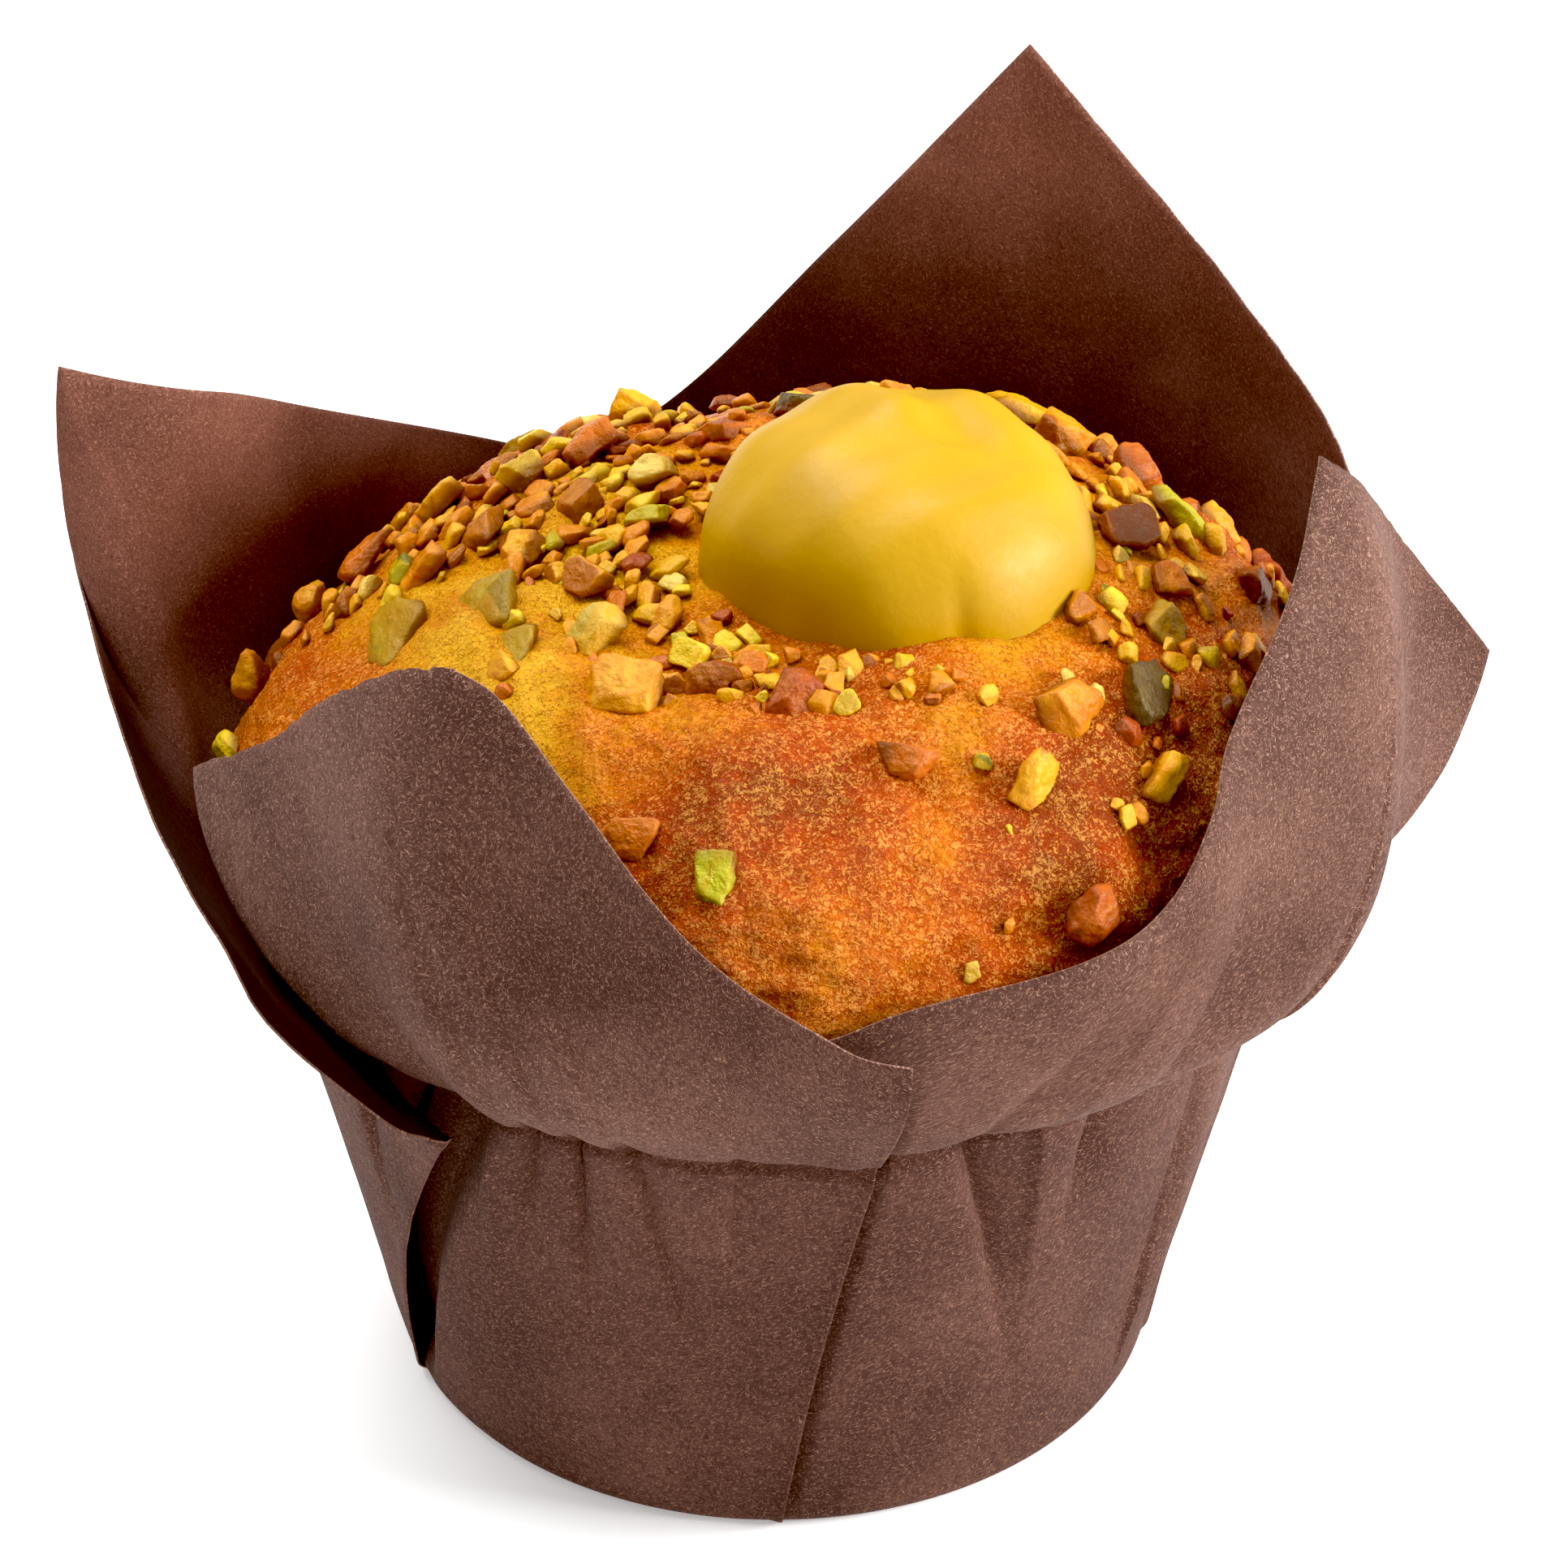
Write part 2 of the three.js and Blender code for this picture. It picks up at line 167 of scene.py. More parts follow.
# Dents that the gathered paper makes under the crease: azimuth at the crease, azimuth at
# the foot, how far down it reaches (0 is the base, 1 the crease), depth and width in mm.
WALL_DENTS = [
    (291, 305, 0.20, 1.9, 2.4),
    (300, 305, 0.25, -0.5, 1.6),
    (309, 306, 0.66, 1.8, 2.8),
    (327, 331, 0.05, 1.4, 1.8),
    (243, 238, 0.62, 1.2, 1.6),
    (248, 246, 0.40, 1.1, 1.2),
    (254, 261, 0.34, 1.1, 1.6),
    (216, 217, 0.50, 1.2, 1.5),
    (237, 229, 0.35, -0.5, 1.2),
    (266, 264, 0.60, 0.6, 1.5),
    (12, 10, 0.30, 1.0, 2.0),
    (38, 44, 0.35, 0.9, 1.8),
    (66, 63, 0.50, 0.7, 1.6),
    (96, 90, 0.30, 1.0, 2.0),
    (143, 138, 0.40, 0.9, 1.8),
    (168, 172, 0.35, 1.0, 2.0),
    (192, 190, 0.50, 0.7, 1.5),
]

# A dent is this many times steeper on its near side, comes to a line this sharp, and is this
# much narrower at its foot.
DENT_STEEP_SIDE = 3.5
DENT_POINTED = 1.15
DENT_FOOT_WIDTH = 0.35

# The narrow pleat on the right: its azimuth at the foot and at the crease, and its height.
STRIP_FOOT = 331
STRIP_TOP = 326
STRIP_HEIGHT = 0.75

# Soft folds that run up the petals: petal, place across at the crease and at the rim,
# height in mm (positive is outward) and width as a share of the petal.
PETAL_FOLDS = [
    ("left", 0.62, 0.34, -2.0, 0.10),
    ("left", 0.25, 0.16, 0.7, 0.09),
    ("right", 0.60, 0.74, 0.2, 0.10),
    ("right", 0.82, 0.86, -0.15, 0.08),
    ("front", 0.30, 0.20, 0.5, 0.10),
    ("front", 0.72, 0.62, -0.4, 0.10),
    ("back", 0.30, 0.40, 0.7, 0.10),
    ("back", 0.68, 0.60, -0.8, 0.12),
]
FOLD_ROUNDNESS = 1.6

# Slow waves and small crinkles over the whole sheet: height in mm and how close they lie.
WAVE_HEIGHT = 0.32
WAVE_SCALE = 0.055
CRINKLE_HEIGHT = 0.10
CRINKLE_SCALE = 4.3

# Rows of points over the base, the wall and the flare of each petal, and columns across it.
BASE_ROWS = 8
WALL_ROWS = 90
FLARE_ROWS = 79
COLUMNS = 210


def ease(value, low, high):
    """0 below low, 1 above high, and a smooth rise between them."""
    share = np.clip((np.asarray(value, float) - low) / (high - low), 0, 1)
    return share * share * (3 - 2 * share)


def curve_points(known, place):
    """Points on a smooth curve through all the corners but the first and last, which steer it."""
    step = np.minimum(place.astype(int), len(known) - 4)
    t = (place - step)[..., None]
    p0, p1, p2, p3 = known[step], known[step + 1], known[step + 2], known[step + 3]
    bend = 2 * p0 - 5 * p1 + 4 * p2 - p3
    return 0.5 * (2 * p1 + (p2 - p0) * t + bend * t**2 + (3 * p1 - p0 - 3 * p2 + p3) * t**3)


def edge_curve(corners, share):
    """Points along a rim, from its first corner where share is 0 to its last where it is 1."""
    known = np.array(corners, float)
    known = np.vstack([2 * known[0] - known[1], known, 2 * known[-1] - known[-2]])
    return curve_points(known, np.clip(share, 0, 1) * (len(corners) - 1))


def across_values(values, across, tip):
    """A petal's values at its start, tip and end, eased from one to the next."""
    first = values[0] + (values[1] - values[0]) * ease(across, 0, tip)
    second = values[1] + (values[2] - values[1]) * ease(across, tip, 1)
    return np.where(across < tip, first, second)


def turn_past(azimuth, line):
    """Degrees from a line round to each azimuth, from -180 to 180."""
    return (azimuth - line + 180) % 360 - 180


def wall_dent(azimuth, up):
    """How far the gathered paper stands in from the plain cone, in mm."""
    total = np.zeros_like(azimuth)
    radius = BASE_RADIUS + (CREASE_RADIUS - BASE_RADIUS) * up
    narrowed = DENT_FOOT_WIDTH + (1 - DENT_FOOT_WIDTH) * up
    for top, foot, low, depth, width in WALL_DENTS:
        line = foot + (top - foot) * np.clip((up - low) / (1 - low), 0, 1)
        offset = np.radians(turn_past(azimuth, line)) * radius / (width * narrowed)
        steep = np.where(offset < 0, DENT_STEEP_SIDE, 1.0)
        total += depth * ease(up, low, 1.0) * np.exp(-np.abs(offset * steep) ** DENT_POINTED)
    return total


def seam_strip(azimuth, up):
    """The narrow pleat on the right: its free edge stands proud and fades behind."""
    turn = turn_past(azimuth, STRIP_FOOT + (STRIP_TOP - STRIP_FOOT) * up)
    across = ease(turn, -0.4, 0.4) * (1 - ease(turn, 3, 16))
    return STRIP_HEIGHT * across * ease(up, 0.03, 0.3)


def wall_points(petal, across, up):
    """Points of a petal's share of the wall: up is 0 at the base and 1 at the crease."""
    over = petal["base"][0] + (petal["over"] - petal["base"][0]) * up
    start = over - petal["lap"] * ease(up, 0, 0.3)
    end = petal["base"][1] + (petal["crease_end"] - petal["base"][1]) * up
    azimuth = start + (end - start) * across
    tucked = ease(up, 0, 0.15) * (1 - ease(azimuth - over, 0.3, petal["tuck_ends"]))
    lifted = petal["proud"] * up**2 * ease(across, 0.82, 1)
    radius = BASE_RADIUS + (CREASE_RADIUS - BASE_RADIUS) * up - petal["tuck"] * tucked + lifted
    radius = radius - wall_dent(azimuth, up) * (1 - 0.8 * tucked) + seam_strip(azimuth, up)
    radius = radius - GROOVE * ease(up, 0.955, 0.985) + EDGE_LIFT * ease(across, 0.97, 1)
    height = FLOOR_GAP + (CREASE_HEIGHT - FLOOR_GAP) * up - 0.8 * lifted
    foot = np.clip(height / BASE_ROUNDING, 0, 1)
    radius = radius - BASE_ROUNDING * (1 - np.sqrt(1 - (1 - foot) ** 2))
    angle = np.radians(azimuth)
    return np.stack([radius * np.cos(angle), radius * np.sin(angle), height], -1)


def soften(handles, reach=14):
    """The same handles with their sudden turns along the rim evened out."""
    weights = np.hanning(2 * reach + 1)
    weights /= weights.sum()
    padded = np.pad(handles, ((reach, reach), (0, 0)), mode="edge")
    return np.stack([np.convolve(padded[:, axis], weights, "valid") for axis in range(3)], -1)


def crease_azimuth(petal, across):
    """Where a place across the petal lies on the crease."""
    start = petal["over"] - petal["lap"]
    return start + (petal["crease_end"] - start) * across


def outward_from_axis(points):
    """Level directions from the wrap's axis out to the points."""
    flat = points * np.array([1.0, 1.0, 0.0])
    return flat / np.linalg.norm(flat, axis=-1)[..., None]


def flare_points(petal, across, out):
    """Points of a petal above the crease: out is 0 at the crease and 1 at the rim."""
    tip = petal["tip"]
    start = wall_points(petal, across, np.ones_like(across))
    rising = edge_curve(petal["rising"], across / tip)
    falling = edge_curve(petal["falling"], (across - tip) / (1 - tip))
    end = np.where((across < tip)[..., None], rising, falling)
    reach = np.linalg.norm(end - start, axis=-1)[..., None]
    leave = np.radians(across_values(petal["leave"], across, tip))[..., None]
    arrive = np.radians(across_values(petal["arrive"], across, tip))[..., None]
    upward = np.array([0.0, 0.0, 1.0])
    leaving = outward_from_axis(start) * np.sin(leave) + upward * np.cos(leave)
    arriving = outward_from_axis(end) * np.sin(arrive) + upward * np.cos(arrive)
    first = start + soften(LEAVING_PULL * reach * leaving)
    second = end - soften(ARRIVING_PULL * reach * arriving)
    t = out[..., None]
    points = (1 - t) ** 3 * start + 3 * (1 - t) ** 2 * t * first
    points = points + 3 * (1 - t) * t**2 * second + t**3 * end
    edge = ease(across, 0, 0.06) * (1 - ease(across, 0.94, 1))
    lip = LIP * ease(out, 0, 0.03) * (1 - ease(out, 0.04, 0.45)) * (0.35 + 0.65 * edge)
    gathered = wall_dent(crease_azimuth(petal, across), 1.0)
    undented = gathered * ease(out, 0, 0.14) * (1 - out) ** 2
    return points + outward_from_axis(points) * (lip + undented)[..., None]


def fold_height(petal, across, out):
    """How far the petal's soft folds lift it, in mm."""
    total = np.zeros_like(across)
    for name, low, high, height, width in PETAL_FOLDS:
        if name == petal["name"]:
            offset = (across - (low + (high - low) * out)) / width
            total += height * ease(out, 0.05, 0.5) * np.exp(-np.abs(offset) ** FOLD_ROUNDNESS)
    return total


def crinkle(grid, normal):
    """Adds the slow waves and small crinkles, which fade in above the base."""
    for row in range(BASE_ROWS, len(grid)):
        fade = min(1.0, (row - BASE_ROWS) / 20)
        for column in range(COLUMNS):
            spot = Vector(grid[row, column] * WAVE_SCALE)
            wave = noise.noise(spot + Vector((7.1, 3.3, 1.7)))
            small = noise.noise(spot * CRINKLE_SCALE + Vector((1.2, 8.4, 5.5)))
            height = WAVE_HEIGHT * wave + CRINKLE_HEIGHT * small
            grid[row, column] += normal[row, column] * fade * height


def tear_rim(grid, across, petal):
    """Pulls the rim in and out where the sheet was torn along a ruler, not cut."""
    rising_side, falling_side = petal["ragged"]
    for column in range(COLUMNS):
        amount = rising_side if across[column] < petal["tip"] else falling_side
        if amount:
            tear = noise.fractal(Vector((column * 0.35, 4.7, 9.1)), 0.8, 2.0, 4)
            pull = grid[-1, column] - grid[-3, column]
            pull /= max(np.linalg.norm(pull), 1e-6)
            grid[-1, column] += pull * amount * tear


def paper_grid(petal):
    """Rows of points over one petal, from the middle of the base to the rim, where they lie on
    the flat sheet, both in mm, and how far the paper is darkened at each: partly for grease it
    has soaked up, partly as painted shade near the cake."""
    across = np.linspace(0, 1, COLUMNS)
    at_tip = np.argmin(np.abs(across - petal["tip"]))
    across[at_tip] = petal["tip"]
    angle = np.radians(petal["base"][0] + (petal["base"][1] - petal["base"][0]) * across)
    level = np.full(COLUMNS, FLOOR_GAP)
    rows = []
    for radius in np.linspace(0, BASE_RADIUS - BASE_ROUNDING, BASE_ROWS + 1)[:-1]:
        rows.append(np.stack([radius * np.cos(angle), radius * np.sin(angle), level], -1))
    even = np.linspace(0, 1, WALL_ROWS)
    for up in even - 0.8 * np.sin(2 * np.pi * even) / (2 * np.pi):
        rows.append(wall_points(petal, across, np.full(COLUMNS, up)))
    outs = np.linspace(0, 1, FLARE_ROWS + 1)[1:] ** 1.7
    for out in outs:
        rows.append(flare_points(petal, across, np.full(COLUMNS, out)))
    grid = np.array(rows)
    normal = np.cross(np.gradient(grid, axis=1), np.gradient(grid, axis=0))
    normal /= np.maximum(np.linalg.norm(normal, axis=-1), 1e-9)[..., None]
    flare_start = BASE_ROWS + WALL_ROWS
    for row, out in enumerate(outs, flare_start):
        height = fold_height(petal, across, np.full(COLUMNS, out))
        grid[row] += normal[row] * height[:, None]
    crinkle(grid, normal)
    tear_rim(grid, across, petal)
    steps_along = np.linalg.norm(np.diff(grid, axis=1, prepend=grid[:, :1]), axis=-1)
    steps_up = np.linalg.norm(np.diff(grid, axis=0, prepend=grid[:1]), axis=-1)
    along_row = np.cumsum(steps_along, axis=1)
    up_column = np.cumsum(steps_up, axis=0)
    flat = np.stack([along_row - along_row[:, at_tip, None], up_column], -1)
    above_crease = up_column - up_column[flare_start - 1]
    # Darkening for grease and painted shade: full on the wall and base, fading with height above
    # the crease.
    grease_and_shade = across_values(petal["grease_and_shade"], across, petal["tip"])
    grease_and_shade = grease_and_shade * (1 - ease(above_crease, *GREASE_AND_SHADE_FADES))
    grease_and_shade[:flare_start] = 1.0
    return grid, flat, grease_and_shade


def finished_mesh(mesh, name):
    """The built mesh as smooth-shaded mesh data."""
    for face in mesh.faces:
        face.smooth = True
    data = bpy.data.meshes.new(name)
    mesh.to_mesh(data)
    mesh.free()
    return data


def paper_mesh():
    """All four petals, welded where they share points."""
    mesh = bmesh.new()
    sheet = mesh.loops.layers.uv.new("sheet")
    soaked_and_shaded = mesh.verts.layers.float_color.new("grease_and_shade")
    for number, petal in enumerate(PETALS):
        grid, flat, grease_and_shade = paper_grid(petal)
        rows, columns = grid.shape[:2]
        points = [[mesh.verts.new(point * MM) for point in row] for row in grid]
        for r in range(rows):
            for c in range(columns):
                points[r][c][soaked_and_shaded] = (grease_and_shade[r, c],) * 3 + (1.0,)
        for r in range(rows - 1):
            for c in range(columns - 1):
                corners = [(r, c), (r, c + 1), (r + 1, c + 1), (r + 1, c)]
                face = mesh.faces.new([points[i][j] for i, j in corners])
                for loop, (i, j) in zip(face.loops, corners):
                    loop[sheet].uv = (flat[i, j, 0] + PETALS_APART * number, flat[i, j, 1])
    bmesh.ops.remove_doubles(mesh, verts=mesh.verts, dist=2e-6)
    bmesh.ops.dissolve_degenerate(mesh, edges=mesh.edges, dist=1e-7)
    return finished_mesh(mesh, "tulip_paper")


def new_group(name, inputs, outputs):
    """An empty node group with (name, socket type, default) inputs and (name, type) outputs."""
    group = bpy.data.node_groups.new(name, "ShaderNodeTree")
    for label, kind, value in inputs:
        socket = group.interface.new_socket(label, in_out="INPUT", socket_type=kind)
        if value is not None:
            socket.default_value = value
    for label, kind in outputs:
        group.interface.new_socket(label, in_out="OUTPUT", socket_type=kind)
    return group, group.nodes.new("NodeGroupInput"), group.nodes.new("NodeGroupOutput")


def add_node(tree, kind, links=None, **settings):
    """A node with its settings made and its inputs linked to sockets or set to values."""
    node = tree.nodes.new(kind)
    for key, value in settings.items():
        setattr(node, key, value)
    for key, value in (links or {}).items():
        if isinstance(value, bpy.types.NodeSocket):
            tree.links.new(value, node.inputs[key])
        else:
            node.inputs[key].default_value = value
    return node


def range_mask(tree, value, low, high, out_low=0.0, out_high=1.0):
    """A value stretched from low..high to out_low..out_high, and held at those ends."""
    ends = {0: value, 1: low, 2: high, 3: out_low, 4: out_high}
    node = add_node(tree, "ShaderNodeMapRange", ends)
    node.clamp = True
    return node.outputs[0]


def mix_colour(tree, amount, first, second, blend="MIX"):
    sockets = {0: amount, 6: first, 7: second}
    mix = add_node(tree, "ShaderNodeMix", sockets, data_type="RGBA", blend_type=blend)
    return mix.outputs[2]


def noise_value(tree, place, scale, detail, roughness=0.5, distortion=0.0):
    """A soft random value from 0 to 1, which changes over 1 / scale of the place's unit."""
    sockets = {"Vector": place, "Scale": scale, "Detail": detail}
    sockets.update({"Roughness": roughness, "Distortion": distortion})
    return add_node(tree, "ShaderNodeTexNoise", sockets).outputs[0]


def weighed_sum(tree, value, weight, other):
    sockets = {0: value, 1: weight, 2: other}
    return add_node(tree, "ShaderNodeMath", sockets, operation="MULTIPLY_ADD").outputs[0]


def combine_vectors(tree, operation, first, second):
    sockets = {0: first, 1: second}
    return add_node(tree, "ShaderNodeVectorMath", sockets, operation=operation).outputs[0]


def new_material(name):
    """A material, its node tree and its shader."""
    material = bpy.data.materials.new(name)
    material.use_nodes = True
    return material, material.node_tree, material.node_tree.nodes["Principled BSDF"]


def finish_shader(tree, shader, colour, roughness, height, strength, distance, **even):
    """Links the colour and roughness, adds fine relief whose depth is in metres, and sets the
    sockets that are even over the surface, such as Sheen_Weight."""
    tree.links.new(colour, shader.inputs["Base Color"])
    tree.links.new(roughness, shader.inputs["Roughness"])
    relief = {"Height": height, "Strength": strength, "Distance": distance}
    bump = add_node(tree, "ShaderNodeBump", relief)
    tree.links.new(bump.outputs[0], shader.inputs["Normal"])
    for name, value in even.items():
        shader.inputs[name.replace("_", " ")].default_value = value


def make_fibre_group():
    """Short pulp fibres lying in one direction on the sheet: 1 on a fibre, 0 beside it."""
    group, given, result = new_group(
        "paper_fibres",
        [
            ("Sheet", "NodeSocketVector", None),
            ("Turn", "NodeSocketFloat", 0.0),
            ("Length", "NodeSocketFloat", 0.7),
            ("Width", "NodeSocketFloat", 8.0),
            ("Rarity", "NodeSocketFloat", 0.62),
        ],
        [("Fibre", "NodeSocketFloat")],
    )
    sheet = given.outputs["Sheet"]
    sway = add_node(group, "ShaderNodeTexNoise", {"Vector": sheet, "Scale": 0.9})
    bent = combine_vectors(group, "MULTIPLY", sway.outputs["Color"], (0.9, 0.9, 0.0))
    moved = combine_vectors(group, "ADD", sheet, bent)
    turned = add_node(
        group,
        "ShaderNodeVectorRotate",
        {"Vector": moved, "Angle": given.outputs["Turn"]},
        rotation_type="Z_AXIS",
    )
    stretch = {0: given.outputs["Length"], 1: given.outputs["Width"], 2: 1.0}
    stretch = add_node(group, "ShaderNodeCombineXYZ", stretch)
    scaled = combine_vectors(group, "MULTIPLY", turned.outputs[0], stretch.outputs[0])
    dashes = add_node(
        group,
        "ShaderNodeTexNoise",
        {"Vector": scaled, "Scale": 1.0, "Detail": 1.0, "Roughness": 0.4},
        noise_dimensions="2D",
    )
    rarity = {0: dashes.outputs[0], 1: given.outputs["Rarity"]}
    past = add_node(group, "ShaderNodeMath", rarity, operation="SUBTRACT")
    group.links.new(range_mask(group, past.outputs[0], 0.0, 0.05), result.inputs["Fibre"])
    return group


FIBRE_LENGTH = 2.3
FIBRE_WIDTH = 11.0
fibre_group = make_fibre_group()


def lay_fibres(tree, sheet, colour, fibre_colour, strength, turns, rarity):
    """Short fibres of one colour over the paper's colour, in each of the directions in turns."""
    for turn in turns:
        fibres = tree.nodes.new("ShaderNodeGroup")
        fibres.node_tree = fibre_group
        fibres.inputs["Turn"].default_value = turn
        fibres.inputs["Length"].default_value = FIBRE_LENGTH
        fibres.inputs["Width"].default_value = FIBRE_WIDTH
        fibres.inputs["Rarity"].default_value = rarity
        tree.links.new(sheet, fibres.inputs["Sheet"])
        amount = range_mask(tree, fibres.outputs["Fibre"], 0, 1, 0, strength)
        colour = mix_colour(tree, amount, colour, fibre_colour)
    return colour


def paper_material(name, pulp, deep, light_fibre, dark_fibre, soaked_and_shaded):
    """Pulp in clouds of two browns, with dark and light fibres, dimmed where it is soaked with
    grease and as painted shade.
    """
    material, tree, shader = new_material(name)
    sheet = add_node(tree, "ShaderNodeUVMap", uv_map="sheet").outputs[0]
    body = add_node(tree, "ShaderNodeTexCoord").outputs["Object"]
    cloud = noise_value(tree, body, 75.0, 5.0, 0.6)
    mottle = noise_value(tree, sheet, 1.1, 7.0, 0.72)
    colour = mix_colour(tree, range_mask(tree, cloud, 0.33, 0.72), pulp, deep)
    colour = mix_colour(tree, range_mask(tree, mottle, 0.45, 0.68, 0.0, 0.75), colour, deep)
    colour = lay_fibres(tree, sheet, colour, dark_fibre, 0.5, (0.9, 1.9, 2.6), 0.645)
    colour = lay_fibres(tree, sheet, colour, light_fibre, 0.75, (0.3, 1.4, 2.3, 2.9), 0.70)
    # This layer carries painted shade as well as grease: it darkens the paper near the cake, where
    # shade falls.
    grease_and_shade = add_node(tree, "ShaderNodeVertexColor", layer_name="grease_and_shade").outputs[0]
    blotch = weighed_sum(tree, cloud, 0.7, grease_and_shade)
    colour = mix_colour(tree, range_mask(tree, blotch, 0.35, 1.35), colour, soaked_and_shaded, "MULTIPLY")
    finish_shader(
        tree,
        shader,
        colour,
        roughness=range_mask(tree, mottle, 0.3, 0.7, 0.72, 0.84),
        height=mottle,
        strength=0.3,
        distance=0.00025,
        Specular_IOR_Level=0.12,
        Sheen_Weight=0.02,
        Sheen_Roughness=0.45,
        Sheen_Tint=(1.0, 0.95, 0.92, 1.0),
    )
    return material


paper_outside = paper_material(
    "brown_paper_outside",
    pulp=(0.168, 0.084, 0.064, 1),
    deep=(0.072, 0.032, 0.025, 1),
    light_fibre=(0.40, 0.23, 0.165, 1),
    dark_fibre=(0.045, 0.019, 0.015, 1),
    soaked_and_shaded=(0.70, 0.63, 0.61, 1),
)
# The inside is the same paper as the outside, coloured lighter and redder as painted warm light
# bounced off the cake.
paper_inside_warm_lit = paper_material(
    "brown_paper_inside_warm_lit",
    pulp=(0.240, 0.104, 0.076, 1),
    deep=(0.165, 0.066, 0.048, 1),
    light_fibre=(0.42, 0.20, 0.14, 1),
    dark_fibre=(0.09, 0.030, 0.020, 1),
    soaked_and_shaded=(0.17, 0.16, 0.20, 1),
)
paper_rim = paper_material(
    "brown_paper_cut_edge",
    pulp=(0.27, 0.16, 0.12, 1),
    deep=(0.17, 0.09, 0.07, 1),
    light_fibre=(0.50, 0.34, 0.27, 1),
    dark_fibre=(0.10, 0.05, 0.04, 1),
    soaked_and_shaded=(0.8, 0.7, 0.66, 1),
)

def add_object(name, data, *materials):
    """An object of that mesh in the scene, with its materials."""
    piece = bpy.data.objects.new(name, data)
    bpy.context.scene.collection.objects.link(piece)
    for material in materials:
        data.materials.append(material)
    return piece


wrap = add_object("tulip_paper", paper_mesh(), paper_outside, paper_inside_warm_lit, paper_rim)
thickness = wrap.modifiers.new("paper_thickness", "SOLIDIFY")
thickness.thickness = PAPER_THICK * MM
thickness.offset = 0
thickness.material_offset = 1
thickness.material_offset_rim = 2
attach(wrap, "root")
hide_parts("tulip_wrap")


# ---------------------------------------------------------------------- cake
# One baked piece: a stem that filled the cup and a dome that swelled over the crease. Its
# crust is egg-yellow to orange-brown, finely pitted, and holds the nuts.

# Sizes in mm: how far the cake stands clear of the cup's wall and floor, and the dome, which
# rises to the right and falls to the back by these slopes.
CAKE_GAP = 2.7
CAKE_FLOOR = 0.8
DOME_RADIUS = 35.4
DOME_HEIGHT = 59.8
DOME_TILT = 0.075
DOME_BACK_FALL = 0.045
FOOT = BASE_RADIUS - CAKE_GAP
NECK = CREASE_RADIUS - CAKE_GAP
CAKE_OUTLINE = [
    (0, CAKE_FLOOR),
    (FOOT * 0.5, CAKE_FLOOR),
    (FOOT - 0.6, CAKE_FLOOR),
    (FOOT + 0.8, 3.5),
    ((FOOT + NECK) / 2, CREASE_HEIGHT / 2),
    (NECK, CREASE_HEIGHT),
    (DOME_RADIUS - 1, 40.5),
    (DOME_RADIUS, 45),
    (DOME_RADIUS - 2.4, 50),
    (28, 54.8),
    (20, 58.8),
    (10, DOME_HEIGHT - 0.7),
    (0, DOME_HEIGHT),
]

# Patches of the crust, as azimuth, elevation from the middle of the dome, reach in mm and
# how brown: above 0 is browner than the rest, below 0 paler.
BAKE_PATCHES = [
    (262, 33, 5, 0.8), (275, 30, 4, 0.7), (318, 26, 8, 0.6), (300, 12, 9, 0.5),
    (330, 12, 10, 1.1), (250, 20, 5, 0.35), (283, 42, 6, 0.45), (345, 20, 9, 0.9),
    (296, 34, 5, -0.4), (285, 22, 8, 0.18), (215, 26, 8, -0.2), (200, 30, 9, -0.45),
    (185, 45, 11, -0.65), (160, 50, 9, -0.7), (230, 36, 7, -0.6), (350, 32, 8, -0.6),
    (10, 42, 8, -0.5), (312, 40, 6, -0.3), (270, 14, 6, 0.2), (120, 40, 10, -0.5),
    (60, 35, 10, -0.3), (185, 12, 8, 0.25), (90, 15, 12, 0.3), (30, 10, 10, 0.4),
]

# How strong all the patches are, and the height in mm that elevations are measured from.
PATCH_STRENGTH = 1.25
PATCH_MIDDLE = 42

# Relief of the dome in mm: swellings, lumps, knobs, grain and pits.
SWELLING = 0.9
LUMPS = 0.85
KNOBS = 0.32
GRAIN = 0.08
PITS = 0.25


def swelling(x, y, z, height):
    """Slow swellings up to that height, with a smaller ripple in them."""
    wave = np.sin(0.21 * x + 0.13 * z + 1.1) * np.sin(0.19 * y - 0.11 * z + 0.4)
    ripple = np.sin(0.47 * x - 0.2 * y) * np.sin(0.41 * y + 0.3 * z + 2)
    return height * (0.65 * wave + 0.35 * ripple)


def cake_profile(share):
    """The outline as the CAD lathe has it: a curve whose end corners are doubled."""
    known = np.array([CAKE_OUTLINE[0]] + CAKE_OUTLINE + [CAKE_OUTLINE[-1]], float)
    return curve_points(known, share * (len(CAKE_OUTLINE) - 1))


def cake_surface(azimuth, profile):
    """Points on the smooth crust and the directions straight out of it, in mm."""
    angle = np.radians(azimuth)
    x = profile[..., 0] * np.cos(angle)
    y = profile[..., 0] * np.sin(angle)
    z = profile[..., 1] + 0 * x
    above = ease(z, CREASE_HEIGHT + 4, CREASE_HEIGHT + 14)
    raised = ease(z, CREASE_HEIGHT, CREASE_HEIGHT + 16)
    z = z + raised * (DOME_TILT * x - DOME_BACK_FALL * np.maximum(y, 0))
    out = np.stack([x, y, (z - CREASE_HEIGHT) * 1.1], -1)
    out /= np.maximum(np.linalg.norm(out, axis=-1), 1e-9)[..., None]
    amount = np.where(z > CREASE_HEIGHT, above * swelling(x, y, z, SWELLING), 0)
    return np.stack([x, y, z], -1) + out * amount[..., None], out


def patch_centre(azimuth, elevation):
    """Where a direction from the middle of the dome meets the crust, in mm."""
    points, _ = cake_surface(np.full(400, azimuth), cake_profile(np.linspace(0.4, 1, 400)))
    height = points[:, 2] - PATCH_MIDDLE
    slope = np.degrees(np.arctan2(height, np.hypot(points[:, 0], points[:, 1])))
    return points[np.argmin(np.abs(slope - elevation))]


